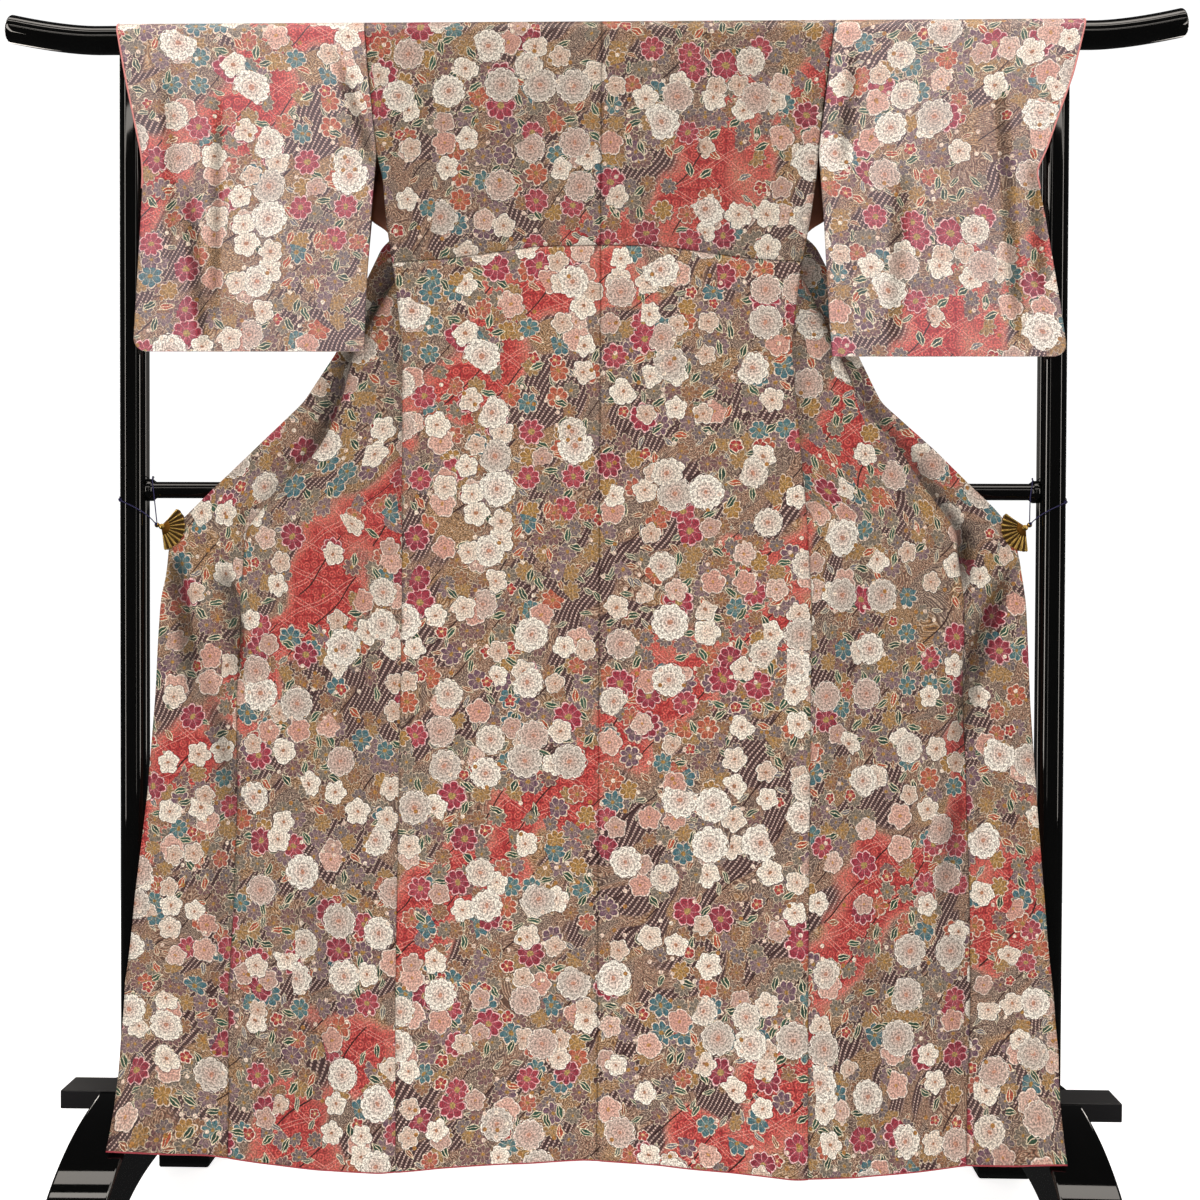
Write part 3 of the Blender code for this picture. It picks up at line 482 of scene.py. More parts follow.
def flowers(tree, under, cloth, spacing, shift, share, on_band, petals, notch, radius, rim, split, vein,
            vein_strength, colours, heart, blush, outline, eye, eye_colour, rings=0.0, rays=0):
    """Paints one layer of round flowers with scalloped edges."""
    distance, angle, chance, middle = motif_cells(tree, cloth, spacing, 0.85, shift)
    shown = grouped(tree, middle, chance[0], share, on_band, spacing * 90)
    distance = put(tree, TIMES, distance, put(tree, TIMES_PLUS, chance[1], 0.30, 0.86))
    if rings:
        ring = put(tree, "Math FLOOR", put(tree, TIMES, distance, 1.0 / rings))
        angle = put(tree, TIMES_PLUS, ring, math.pi / petals, angle)
    lobe = put(tree, "Math ABSOLUTE", put(tree, "Math SINE", put(tree, TIMES, angle, petals / 2)))
    scallop = put(tree, TIMES_PLUS, lobe, notch, 1.0 - notch)
    reach = put(tree, "Math DIVIDE", distance, scallop)

    warmth = put(tree, "MapRange", distance, 0.0, radius * 0.8, blush, 0.0, **SOFT)
    body = put(tree, "Mix", warmth, pick(tree, chance[1], colours), linear(heart), **BLEND)
    if rings:
        mark = put(tree, "Math FRACT", put(tree, TIMES, reach, 1.0 / rings))
        mark = put(tree, BELOW, mark, 0.20)
    else:
        mark = put(tree, BELOW, lobe, split)
    body = put(tree, "Mix", put(tree, TIMES, mark, vein_strength), body, linear(vein), **BLEND)
    if rays:
        ray = put(tree, NEAR, put(tree, "Math SINE", put(tree, TIMES, angle, rays / 2)), 0.0, 0.22)
        ray = put(tree, TIMES, ray, vein_strength * 0.75)
        body = put(tree, "Mix", ray, body, linear(vein), **BLEND)

    halo = put(tree, "MapRange", reach, radius, radius + HALO_WIDTH, 0.92, 0.0)
    for mask, colour in ((halo, HALO), (put(tree, BELOW, reach, radius), body),
                         (put(tree, NEAR, reach, radius, rim), linear(outline)),
                         (put(tree, BELOW, distance, eye), linear(eye_colour))):
        under = put(tree, "Mix", put(tree, TIMES, mask, shown), under, colour, **BLEND)
    return under


def leaves(tree, under, cloth, spacing, shift, length, width, share, on_band, codes):
    """Pointed leaves with a pale outline and midrib."""
    distance, angle, chance, middle = motif_cells(tree, cloth, spacing, 0.9, shift)
    shown = grouped(tree, middle, chance[0], share, on_band, spacing * 70)
    along = put(tree, TIMES, distance, put(tree, "Math COSINE", angle))
    across = put(tree, TIMES, distance, put(tree, "Math SINE", angle))
    wide = put(tree, TIMES, put(tree, "Math ABSOLUTE", across), 1.0 / width)
    along = put(tree, TIMES, along, 1.0 / length)
    edge = put(tree, TIMES_PLUS, along, along, wide)
    inside = put(tree, TIMES, put(tree, BELOW, edge, 1.0), shown)
    rim = put(tree, "Math MAXIMUM", put(tree, NEAR, edge, 0.90, 0.13), put(tree, BELOW, wide, 0.10))
    colour = put(tree, "Mix", inside, under, pick(tree, chance[1], codes), **BLEND)
    return put(tree, "Mix", put(tree, TIMES, rim, inside), colour, LEAF_RIM, **BLEND)


print("a flower's dark halo is", HALO_WIDTH * 1000, "mm wide")

# %% [markdown]
# The ground is tan and brown clouds, thin swaying lines, dotted lines on the dark parts, and
# coral bands that run diagonally and repeat every 70 cm of the bolt. The bands carry a pale
# lattice and rings. The real lines are under a millimetre; they are drawn about twice as wide.

# %% Silk print: the ground
DOT_ALONG, DOT_ACROSS, DOT_RADIUS = 0.0034, 0.0062, 0.00125
RING_SPACING = 0.0125
LATTICE_SPACING, STEM_SPACING = 0.036, 0.105
STREAK_LENGTH, STREAK_WIDTH = 0.170, 0.048
LINE_WAVES_PER_METRE, LINES_PER_WAVE = 100.0, 6.0
BIG_SWAY, SMALL_SWAY = (0.09, 0.09, 0.0), (0.03, 0.03, 0.0)
# A Mapping node of this type lays a pattern on the cloth: turned, and a cell as large as its scale.
LAID = {"vector_type": "TEXTURE"}


def ground_cloth(tree, sway, swayed, calm):
    """Tan, brown and grey clouds with thin lines, and dots where they are brown."""
    streak = put(tree, "Mapping", {"Vector": swayed, "Rotation": (0, 0, math.radians(-42)),
                                   "Scale": (STREAK_LENGTH, STREAK_WIDTH, 1)}, **LAID)
    streak = put(tree, "TexNoise", streak, 1.0, 1.0, **FLAT)
    brown = put(tree, "MapRange", streak, 0.50, 0.55, 0.0, 1.0, **SOFT)
    plain = put(tree, "Math SUBTRACT", 1.0, brown)
    grey = put(tree, "MapRange", streak, 0.44, 0.38, 0.0, 0.9, **SOFT)
    warm = put(tree, "MapRange", put(tree, "SeparateXYZ", sway, out=2), 0.05, 0.13, 0.0, 0.75, **SOFT)
    lines = put(tree, "TexNoise", swayed, LINE_WAVES_PER_METRE, 0.0, **FLAT)
    lines = put(tree, "Math FRACT", put(tree, TIMES, lines, LINES_PER_WAVE))
    dark = put(tree, TIMES, put(tree, TIMES, put(tree, BELOW, lines, 0.30), plain), 0.75)
    pale = put(tree, TIMES, put(tree, TIMES, put(tree, NEAR, lines, 0.55, 0.14), plain), 0.66)

    dots = put(tree, "Mapping", {"Vector": calm, "Rotation": (0, 0, math.radians(-60)),
                                 "Scale": (DOT_ALONG, DOT_ACROSS, 1)}, **LAID)
    dots = put(tree, VECTOR_TIMES_PLUS, put(tree, "VectorMath FRACTION", dots),
               (DOT_ALONG, DOT_ACROSS, 0.0), (-DOT_ALONG / 2, -DOT_ACROSS / 2, 0.0))
    dots = put(tree, TIMES, put(tree, BELOW, put(tree, "VectorMath LENGTH", dots), DOT_RADIUS), brown)
    colour = linear("9a7662")
    for mask, code in ((brown, "573e3e"), (grey, "7e6c64"), (put(tree, TIMES, warm, plain), "ae8552"),
                       (dark, "5a4036"), (pale, "d0baa4"), (dots, "ccb2a8")):
        colour = put(tree, "Mix", mask, colour, linear(code), **BLEND)
    return colour


def coral_bands(tree, cloth, swayed, calm, blotch):
    """The bands' mask, and their coral with rings and a lattice of pale bars."""
    at = put(tree, "SeparateXYZ", swayed).node.outputs
    phase = put(tree, TIMES, put(tree, TIMES_PLUS, at[0], BAND_SLOPE, at[1]), 1.0 / REPEAT)
    phase = put(tree, TIMES_PLUS, blotch, 0.34, put(tree, "Math PINGPONG", phase, 0.5))
    band = put(tree, "MapRange", phase, 0.545, 0.588, 0.0, 1.0, **SOFT)
    core = put(tree, "MapRange", phase, 0.562, 0.632, 0.0, 1.0, **SOFT)
    coral = put(tree, "Mix", core, linear("c98674"), linear("aa3637"), **BLEND)
    rings = put(tree, "TexVoronoi", {"Vector": cloth, "Scale": 1 / RING_SPACING, "Randomness": 0.30},
                voronoi_dimensions="2D")
    rings = put(tree, "Math MAXIMUM", put(tree, NEAR, rings, 0.34, 0.08), put(tree, BELOW, rings, 0.13))
    coral = put(tree, "Mix", put(tree, TIMES, rings, 0.8), coral, linear("d4685e"), **BLEND)
    for turn in (28.0, -34.0):
        bar = put(tree, "Mapping", {"Vector": calm, "Rotation": (0, 0, math.radians(-turn)),
                                    "Scale": (1, LATTICE_SPACING, 1)}, **LAID)
        bar = put(tree, "Math PINGPONG", put(tree, "SeparateXYZ", bar, out=1), 0.5)
        bar = put(tree, NEAR, bar, 0.065, 0.014)
        coral = put(tree, "Mix", put(tree, TIMES, bar, 0.8), coral, linear("dd9a8e"), **BLEND)
    return band, coral


def print_ground(tree, cloth):
    """The ground with its bands, and dark broken stems over both."""
    sway = put(tree, "TexNoise", cloth, 9.0, 1.0, out=1, **FLAT)
    sway = put(tree, VECTOR_MINUS, sway, (0.5, 0.5, 0.5))
    swayed = put(tree, VECTOR_TIMES_PLUS, sway, BIG_SWAY, cloth)
    calm = put(tree, VECTOR_TIMES_PLUS, sway, SMALL_SWAY, cloth)
    blotch = put(tree, "TexNoise", cloth, 10.0, 1.0, **FLAT)
    band, coral = coral_bands(tree, cloth, swayed, calm, blotch)
    colour = put(tree, "Mix", band, ground_cloth(tree, sway, swayed, calm), coral, **BLEND)
    stems = put(tree, "Mapping", {"Vector": calm, "Rotation": (0, 0, math.radians(-48)),
                                  "Scale": (1, STEM_SPACING, 1)}, **LAID)
    stems = put(tree, "Math PINGPONG", put(tree, "SeparateXYZ", stems, out=1), 0.5)
    stems = put(tree, NEAR, stems, 0.28, 0.009)
    broken = put(tree, "Math GREATER_THAN", blotch, 0.47)
    return put(tree, "Mix", put(tree, TIMES, stems, broken), colour, linear("43211f"), **BLEND)


print("repeat of the bolt", REPEAT, "m")

# %% [markdown]
# Seven kinds of flower fill the print, from small muted ones that nearly cover the ground to
# wide white peonies. They are common garden and tree flowers in a layout of this lesson's own.
# Each kind is a set of named values, with sizes in metres, that the painting function takes in.

# %% Silk print: the kinds of flower
MUTED = dict(spacing=0.0255, shift=(3.1, 1.7, 0), share=0.92, on_band=0.5, petals=8, notch=0.34,
             radius=0.0128, rim=0.0008, split=0.2, vein="c0ae9a", vein_strength=0.75,
             colours="846c74 a27f52 7e5c5e 7d746a 92684e 75686c", heart="b89c78", blush=0.3,
             outline="cbb9a4", eye=0.0021, eye_colour="b08848")
BRIGHT = dict(spacing=0.035, shift=(1.3, 5.2, 0), share=0.32, on_band=1.0, petals=7, notch=0.28,
              radius=0.0149, rim=0.001, split=0.16, vein="d9c4b0", vein_strength=0.8,
              colours="4d7680 b55f48 785a6a 547c82 a67e44 b06050", heart="d8c498", blush=0.2,
              outline="dcc9b8", eye=0.0027, eye_colour="a88448")
SMALL_RED = dict(spacing=0.031, shift=(6.4, 2.2, 0), share=0.08, on_band=0.6, petals=5, notch=0.25,
                 radius=0.0085, rim=0.0009, split=0.14, vein="e6cfba", vein_strength=0.8,
                 colours="a82c32", heart="e0c098", blush=0.3, outline="e2cfbe", eye=0.0018,
                 eye_colour="dcc48e")
MAGENTA = dict(spacing=0.052, shift=(4.4, 8.3, 0), share=0.25, on_band=1.3, petals=8, notch=0.22,
               radius=0.0184, rim=0.001, split=0.17, vein="e0a4aa", vein_strength=0.85,
               colours="a03548 943244 a6424e", heart="e0a0a4", blush=0.25, outline="e6bcbc", eye=0.0042,
               eye_colour="b0945e")
BLUSH = dict(spacing=0.046, shift=(7.7, 2.9, 0), share=0.21, on_band=0.9, petals=5, notch=0.2,
             radius=0.0165, rim=0.0008, rings=0.0062, rays=24, split=0.1, vein="b08478",
             vein_strength=0.5, colours="d9b5a6 cfa394 d8c0b2 c4a99c", heart="c88a80", blush=0.35,
             outline="e6d6cb", eye=0.0022, eye_colour="c0905a")
PLUM = dict(spacing=0.041, shift=(2.2, 9.6, 0), share=0.27, on_band=0.85, petals=5, notch=0.24,
            radius=0.0164, rim=0.0007, rays=30, split=0.1, vein="b5a595", vein_strength=0.75,
            colours="ebe3d6 e2d6c8 ebe3d6 d4c0b0", heart="cfa08c", blush=0.45, outline="f0e9df",
            eye=0.0022, eye_colour="ae7c5e")
PEONY = dict(spacing=0.061, shift=(9.5, 4.1, 0), share=0.36, on_band=0.75, petals=9, notch=0.14,
             radius=0.0224, rim=0.0007, rings=0.0056, split=0.1, vein="86796f", vein_strength=0.66,
             colours="ebe5db cfc5bb e8e1d6 cdb8ad dfd6ca", heart="cc9c8c", blush=0.55, outline="efe8de",
             eye=0.003, eye_colour="c08e78")
KINDS = (MUTED, BRIGHT, SMALL_RED, MAGENTA, BLUSH, PLUM, PEONY)
print("flowers are", [round(kind["radius"] * 2000) for kind in KINDS], "mm wide")

# %% [markdown]
# The cloth is printed silk crepe: a matt, pebbled weave whose twisted threads break up every
# edge of the print and leave only a soft sheen. The grain and the bump are drawn at two to
# three millimetres, coarser than real crepe, because threads are too fine to show from here.
# A second UV map brings how near a point is to a seam, and the painted light and shade that scale its colour
# there.

# %% Silk print: all layers
CREPE_COLOUR_SCALE, CREPE_BUMP_SCALE = 430.0, 360.0
EDGE_SHAKE, EDGE_SHAKE_SCALE = 0.0034, 125.0
SEAM_LINE, SEAM_EDGE = 0.0003, 0.0014


def silk_print():
    material, tree, shader = new_material("printed_silk_crepe")
    cloth = put(tree, "UVMap", uv_map="cloth")
    colour = print_ground(tree, cloth)
    shake = put(tree, "TexNoise", cloth, EDGE_SHAKE_SCALE, 0.0, out=1, **FLAT)
    shake = put(tree, VECTOR_MINUS, shake, (0.5, 0.5, 0.5))
    drawn = put(tree, VECTOR_TIMES_PLUS, shake, (EDGE_SHAKE, EDGE_SHAKE, 0.0), cloth)
    colour = leaves(tree, colour, drawn, 0.024, (6.1, 3.3, 0), 0.0100, 0.0038, 0.50, 0.3,
                    "48604f 7d7880 9c5f44 7c7876 6e7468")
    for kind in KINDS[:2]:
        colour = flowers(tree, colour, drawn, **kind)
    colour = leaves(tree, colour, drawn, 0.033, (8.8, 6.4, 0), 0.0116, 0.0050, 0.56, 0.7,
                    "33543f 2d4e40 b4583c 3a5f4c")
    for kind in KINDS[2:]:
        colour = flowers(tree, colour, drawn, **kind)
    distance, _, chance, middle = motif_cells(tree, cloth, 0.016, 0.95, (5.5, 7.9, 0))
    shown = grouped(tree, middle, chance[0], 0.13, 0.5, 3.0)
    berry = put(tree, TIMES, put(tree, BELOW, distance, 0.0030), shown)
    colour = put(tree, "Mix", berry, colour, pick(tree, chance[1], "e8d8c8 e2ccbc ae7e42"), **BLEND)

    grain = put(tree, "TexNoise", cloth, CREPE_COLOUR_SCALE, 1.0, **FLAT)
    grain = put(tree, "MapRange", grain, 0.30, 0.70, 0.50, 1.28)
    colour = put(tree, "Gamma", put(tree, "Mix", 1.0, colour, grain, **DARKEN), 1.12)
    seam = put(tree, "SeparateXYZ", put(tree, "UVMap", uv_map="seam")).node.outputs
    # Painted sheen: where a length is painted lighter (the sleeves), the print is veiled towards a cool grey
    # as if the lamps' sheen lay on it.
    painted_sheen = put(tree, "MapRange", seam[1], 1.02, 1.20, 0.0, 0.085)
    colour = put(tree, "Mix", painted_sheen, colour, linear("c6c2d6"), **BLEND)
    # Painted shade: a thin darker line along each seam, where the sewn valley lies, times the length's
    # painted light and the fold's painted shade.
    painted_seam_shade = put(tree, "MapRange", seam[0], SEAM_LINE, SEAM_EDGE, 0.60, 1.0, **SOFT)
    colour = put(tree, "Mix", 1.0, colour, put(tree, TIMES, painted_seam_shade, seam[1]), **DARKEN)
    tree.links.new(colour, shader.inputs["Base Color"])
    # Crepe is half matt with a faint sheen, so the eye finds its folds by tone, not by highlights.
    shader.inputs["Roughness"].default_value = 0.46
    shader.inputs["Specular IOR Level"].default_value = 0.40
    shader.inputs["Sheen Weight"].default_value = 0.06
    shader.inputs["Sheen Roughness"].default_value = 0.4
    crepe = put(tree, "TexNoise", cloth, CREPE_BUMP_SCALE, 2.0, **FLAT)
    bump = put(tree, "Bump", {"Strength": 0.45, "Distance": 0.0008, "Height": crepe})
    tree.links.new(bump, shader.inputs["Normal"])
    return material


silk = silk_print()
print("print nodes", len(silk.node_tree.nodes))

# %% [markdown]
# The lining shows inside and at the edges, the lacquer on the stand, and brass on the clips.
# Each of these is one main colour, a little uneven in tone and height, and a scan or a painted
# picture would be more than it needs. One function makes them from noise on Object coordinates.

# %% Lining, lacquer and metal


def plain_material(name, code, roughness, metallic=0.0, grain_scale=900.0, grain=0.1, bump=0.1):
    """A finish with one main colour, a little uneven in tone and height."""
    material, tree, shader = new_material(name)
    place = put(tree, "TexCoord", out=3)
    speck = put(tree, "TexNoise", {"Vector": place, "Scale": grain_scale, "Detail": 2.0})
    tone = put(tree, "MapRange", speck, 0.3, 0.7, 1.0 - grain, 1.0 + grain)
    colour = put(tree, "Mix", 1.0, linear(code), tone, **DARKEN)
    tree.links.new(colour, shader.inputs["Base Color"])
    shader.inputs["Roughness"].default_value = roughness
    shader.inputs["Metallic"].default_value = metallic
    height = put(tree, "Bump", {"Strength": bump, "Distance": 0.0004, "Height": speck})
    tree.links.new(height, shader.inputs["Normal"])
    return material


# Plain-woven silk, dyed rose brown. It is matt, so the inside reads as a warm shadow.
lining = plain_material("lining_silk_rose_brown", "76422c", 0.6)
# The same weave dyed red and padded. The eye gets a soft, thin red edge under the hem.
hem_silk = plain_material("hem_roll_silk", "a23a44", 0.55)
# Pale pink silk turned out at the wrist. It draws a light line between the sleeve's walls.
cuff_silk = plain_material("cuff_piping_silk", "d98a86", 0.55)
# Polished urushi lacquer. It is black without a grain and is seen by its sharp reflections.
lacquer = plain_material("urushi_lacquer_black", "050505", 0.035, 0.0, 60.0, 0.1, 0.006)
# Black left satin on the flat bar. Its highlight spreads into a dull grey band.
satin = plain_material("satin_black_bar", "18171a", 0.36, 0.0, 300.0, 0.1, 0.05)
# Pressed brass with rubbed ribs. It gives warm highlights with soft edges.
brass = plain_material("brass_satin", "c8a45a", 0.30, 1.0, 400.0, 0.12, 0.1)
# Tarnish in the hollows. It is brown and rougher, so that the bright ribs stand out.
brass_dark = plain_material("brass_recess", "4a3008", 0.55, 0.6, 400.0, 0.12, 0.1)
# Brass handled round the hinge. It is browner and a little blotched.
brass_heart = plain_material("brass_worn_heart", "96662c", 0.38, 1.0, 300.0, 0.2, 0.15)
# Braided dark blue cord. It is matt, with a fine unevenness in place of single threads.
cord_braid = plain_material("cord_braid_navy", "1c1848", 0.75, 0.0, 2500.0, 0.3, 0.5)
print("materials", len(bpy.data.materials))

# %% [markdown]
# Rods, rolled hems and cords are all one thing to a modeller: a ring that travels along a line.
# A curve object with a round bevel could do this, but extruding keeps everything in bmesh, and
# a list of radii lets the same ring swell into a collar or close to a rounded end.

# %% Swept tubes


def ring_edges(ring):
    return {edge for vert in ring for edge in vert.link_edges if edge.other_vert(vert) in ring}


def sweep(bm, points, radii, sides):
    """Extrudes a ring of vertices from point to point along a line and closes both ends."""
    points = [Vector(point) for point in points]
    radii = [radii] * len(points) if isinstance(radii, float) else radii
    ring = bmesh.ops.create_circle(bm, cap_ends=False, segments=sides, radius=1.0)["verts"]
    flat = [vert.co.copy() for vert in ring]
    normal, ends = None, list(ring_edges(ring))
    for i, point in enumerate(points):
        along = (points[min(i + 1, len(points) - 1)] - points[max(i - 1, 0)]).normalized()
        normal = along.orthogonal() if normal is None else normal - along * normal.dot(along)
        normal.normalize()
        across = along.cross(normal)
        if i > 0:
            made = set(bmesh.ops.extrude_edge_only(bm, edges=list(ring_edges(ring)))["geom"])
            ring = [next(e.other_vert(v) for e in v.link_edges if e.other_vert(v) in made) for v in ring]
        for vert, place in zip(ring, flat):
            vert.co = point + (normal * place.x + across * place.y) * radii[i]
    bmesh.ops.holes_fill(bm, edges=ends + list(ring_edges(ring)), sides=0)


print("ring helper ready")

# %% [markdown]
# A finished piece keeps its place in its mesh, with the object itself at the origin. It then
# rides on the stand and takes the place of the imported nodes that it shows, which are hidden.
# Corner normals weighted by face size keep flat faces flat beside small roundings.

# %% Finished pieces


def to_object(bm, mesh_name, name, materials):
    """Turns a bmesh into an object in the scene."""
    mesh = bpy.data.meshes.new(mesh_name)
    bm.to_mesh(mesh)
    bm.free()
    for material in materials:
        mesh.materials.append(material)
    piece = bpy.data.objects.new(name, mesh)
    bpy.context.scene.collection.objects.link(piece)
    return piece


def finished(bm, name, nodes, materials, even_shading=False):
    """Turns a bmesh into a piece that rides on the stand and stands for the given nodes."""
    bmesh.ops.recalc_face_normals(bm, faces=bm.faces)
    for face in bm.faces:
        face.smooth = True
    piece = to_object(bm, name, name, materials)
    if even_shading:
        piece.modifiers.new("Even shading", "WEIGHTED_NORMAL")
    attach(piece, "root")
    if nodes:
        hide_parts(*nodes)
    return piece


# %% [markdown]
# Sewing shows as much as the silk does: seams pull the cloth in by a millimetre, and a hem ends
# in a padded roll of the lining's silk. The pull is a narrow dip worked into each point's
# depth, and the roll is a tube swept along the panel's last row, so it follows every fold.

# %% Seams and hem roll
SEAM_DIP, SEAM_SOFT = 0.0011, 0.0035
HEM_ROLL, HEM_DROP = 0.0012, 0.0008
TRIM_SIDES = 8


def dip(distance_from_seam):
    """Sewn edges are pulled in a little."""
    return SEAM_DIP * math.exp(-(distance_from_seam / SEAM_SOFT) ** 2)


def hem_roll(name, row):
    """The lining's padded roll along a hem."""
    bm = bmesh.new()
    sweep(bm, [point + Vector((0.0, 0.0, -HEM_DROP)) for point, _, _ in row], HEM_ROLL, TRIM_SIDES)
    return finished(bm, "hem_roll_" + name, (), [hem_silk])


print("a seam pulls in by", dip(0.0) * 1000, "mm")

# %% [markdown]
# A kimono panel is an outer cloth over a lining. The form comes as rows of points, each with
# its place on the bolt and the painted shade that darkens its fold. A grid is laid on those
# points, and Solidify makes the two layers of it. Sculpting could give softer folds, but it
# couldn't keep the cut's measures. The places on the bolt, in metres, go into the first UV map,
# so the print keeps its size and breaks at the seams as on cut cloth. The seam's distance and
# the painted light and shade go into the second.

# %% Panels of cloth
SHELL = 0.0013
NO_SEAM_NEAR = 0.05
BOLT_ACROSS = 10.0
# Painted light per cut length: the print is painted a little lighter or deeper from one length
# to the next, lightest on the sleeves, which the lamps catch most, darkest on the upper back.
PAINTED_LIGHT_PER_LENGTH = {
    "sleeve": 1.20, "back_upper": 0.87, "back_lower": 1.02, "front": 0.96, "okumi": 0.97, "collar": 0.94}
# How far down the bolt each length's print starts.
PRINT_START = {
    "back_left": 10.13, "back_right": 10.13, "front_left": 10.701, "front_right": 9.573,
    "okumi_left": 10.664, "okumi_right": 9.408, "collar_left": 10.664, "collar_right": 9.408,
    "sleeve_left": 10.5, "sleeve_right": 9.854}
panels = {}


def bolt_place(side, distance, drop, start):
    """Where a point lies on the bolt: across it towards the viewer's right, and down it."""
    return (SIDES[side] * distance + BOLT_ACROSS, drop + start)


def seam_distance(rows, row, column, sewn):
    """How far a point is from the panel's sewn edges, on the flat cloth."""
    edges = {"start": rows[row][0], "end": rows[row][-1], "top": rows[0][column], "bottom": rows[-1][column]}
    here = rows[row][column][1]
    return min([math.dist(here, edges[edge][1]) for edge in sewn.split()] + [NO_SEAM_NEAR])


def cloth_panel(name, rows, flip, sewn):
    """A shell of cloth through rows of points, each with its place on the bolt and its painted light and
    shade.
    """
    bm = bmesh.new()
    last_row, last_column = len(rows) - 1, len(rows[0]) - 1
    bmesh.ops.create_grid(bm, x_segments=last_column, y_segments=last_row, size=1.0)
    bolt = bm.loops.layers.uv.new("cloth")
    seam = bm.loops.layers.uv.new("seam")
    # This length's painted light; times the fold's painted shade it goes into the second UV map and scales
    # the colour.
    tone = next(value for part, value in PAINTED_LIGHT_PER_LENGTH.items() if name.startswith(part))
    where = {}
    for vert in bm.verts:
        column = round((vert.co.x + 1.0) / 2.0 * last_column)
        row = round((vert.co.y + 1.0) / 2.0 * last_row)
        where[vert.index] = (row, column)
        vert.co = rows[row][column][0]
    for face in bm.faces:
        face.smooth = True
        for loop in face.loops:
            row, column = where[loop.vert.index]
            loop[bolt].uv = rows[row][column][1]
            loop[seam].uv = (seam_distance(rows, row, column, sewn), tone * rows[row][column][2])
    if flip:
        bmesh.ops.reverse_faces(bm, faces=bm.faces)
    piece = to_object(bm, name, "cloth_" + name, [silk, lining])
    wall = piece.modifiers.new("Two layers", "SOLIDIFY")
    wall.thickness = SHELL
    wall.offset = 0.0
    wall.material_offset = 1
    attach(piece, "root")
    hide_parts(name)
    panels[name] = piece
    return piece


print("cloth shells are", SHELL * 1000, "mm thick")

# %% [markdown]
# The back is two lengths of cloth joined at the centre seam. On the real kimono each runs on
# over the shoulder, and a tuck is sewn across it to take up what the wearer doesn't need. The
# part above the tuck laps half a millimetre over the part below. They are two panels, as in the
# solids, and the upper one starts with the rows that lie over the rod.

# %% Back panels
TUCK_Z, TUCK_HIDES, TUCK_LAP = 1.37, 0.045, 0.0005
LOWEST_HEM = 0.115
BACK_COLUMNS = 48
BACK_ROWS = {"upper": 52, "lower": 210}
TUCK_DIP = {"upper": 0.3, "lower": 1.0}
TAUT_BELOW_ROD = 0.12


def back_point(side, part, across, share):
    """A point of the back at a share of the panel's width and of its height."""
    tuck = lookup(TUCK, BACK_WIDTH * across, 1)
    top, bottom = (tuck - GAP / 2, HEM_MEAN) if part == "lower" else (ROD_Z, tuck - TUCK_LAP)
    z = top + (bottom - top) * share
    half = lookup(BACK_EDGE, z, COLUMN[side]) - GAP
    x = GAP / 2 + half * across
    height = settle(side, x, z)
    depth = lookup(DEPTHS, z, 1) - forward_push(side, x, height)
    calm = smooth((ROD_Z - z) / TAUT_BELOW_ROD)
    depth += crease(side, x, height, FOLDS) + calm * crease(side, x, height, FINE_FOLDS)
    depth += calm * ripple(SIDES[side] * x, height, SEED["back"])
    depth += dip(half * across) + dip(half * (1.0 - across))
    depth += dip(abs(z - tuck)) * TUCK_DIP[part]
    hidden = 0.0 if part == "lower" else -TUCK_HIDES
    drop = SHOULDER_ARC + ROD_Z - z + hidden
    place = bolt_place(side, half * across, drop, PRINT_START["back_" + side])
    return garment_point(side, x, depth, height), place, 1.0


def back_panel(side, part):
    """A half of the back below or above the tuck."""
    shares = spaced(0.0, 1.0, BACK_COLUMNS)
    rows = []
    for distance in spaced(SHOULDER_START, SHOULDER_ARC, SHOULDER_ROWS)[:-1] if part == "upper" else ():
        depth, z = over_rod(distance, False)
        width = lookup(BACK_EDGE, z, COLUMN[side]) - GAP
        drop = distance - TUCK_HIDES
        rows.append([
            (garment_point(side, GAP / 2 + width * share, depth, z),
             bolt_place(side, width * share, drop, PRINT_START["back_" + side]), 1.0) for share in shares])
    for share in spaced(0.0, 1.0, BACK_ROWS[part]):
        rows.append([back_point(side, part, across, share) for across in shares])
    name = "back_" + part + "_" + side
    if part == "upper":
        length, sewn, trims = ROD_Z + SHOULDER_ARC - TUCK_Z, "start end bottom", []
    else:
        length, sewn, trims = TUCK_Z - LOWEST_HEM, "start end top", [hem_roll(name, rows[-1])]
    return cloth_panel(name, rows, side == "right", sewn)


for side_name in SIDES:
    for part_name in ("upper", "lower"):
        back_panel(side_name, part_name)
print("back panels", [name for name in panels])

# %% [markdown]
# The fronts start at the side seams, behind the back, with the collar or the okumi sewn to
# their other edge. High up they run inwards and roll back out, and below the clips they run
# straight out to the posts. Seen from above, the cloth is a hairpin whose bend slides to the
# seam as it comes down. Points joined by eye would stretch the cloth there; here its direction
# is given along the cloth and summed up to places, which keeps its width at every height.

# %% Fronts: the plan at one height
SECTION_POINTS = 301


def front_edges(side, z):
    """Where the front starts and where its strip ends, and the strip's width, at a height."""
    start = lookup(BACK_EDGE, z, COLUMN[side]) + lookup(ARMHOLE_SPREAD, z, 1) - SIDE_SEAM_INSET
    return start, lookup(FRONT_EDGE, z, COLUMN[side]), lookup(STRIP_WIDTH, z, COLUMN[side])


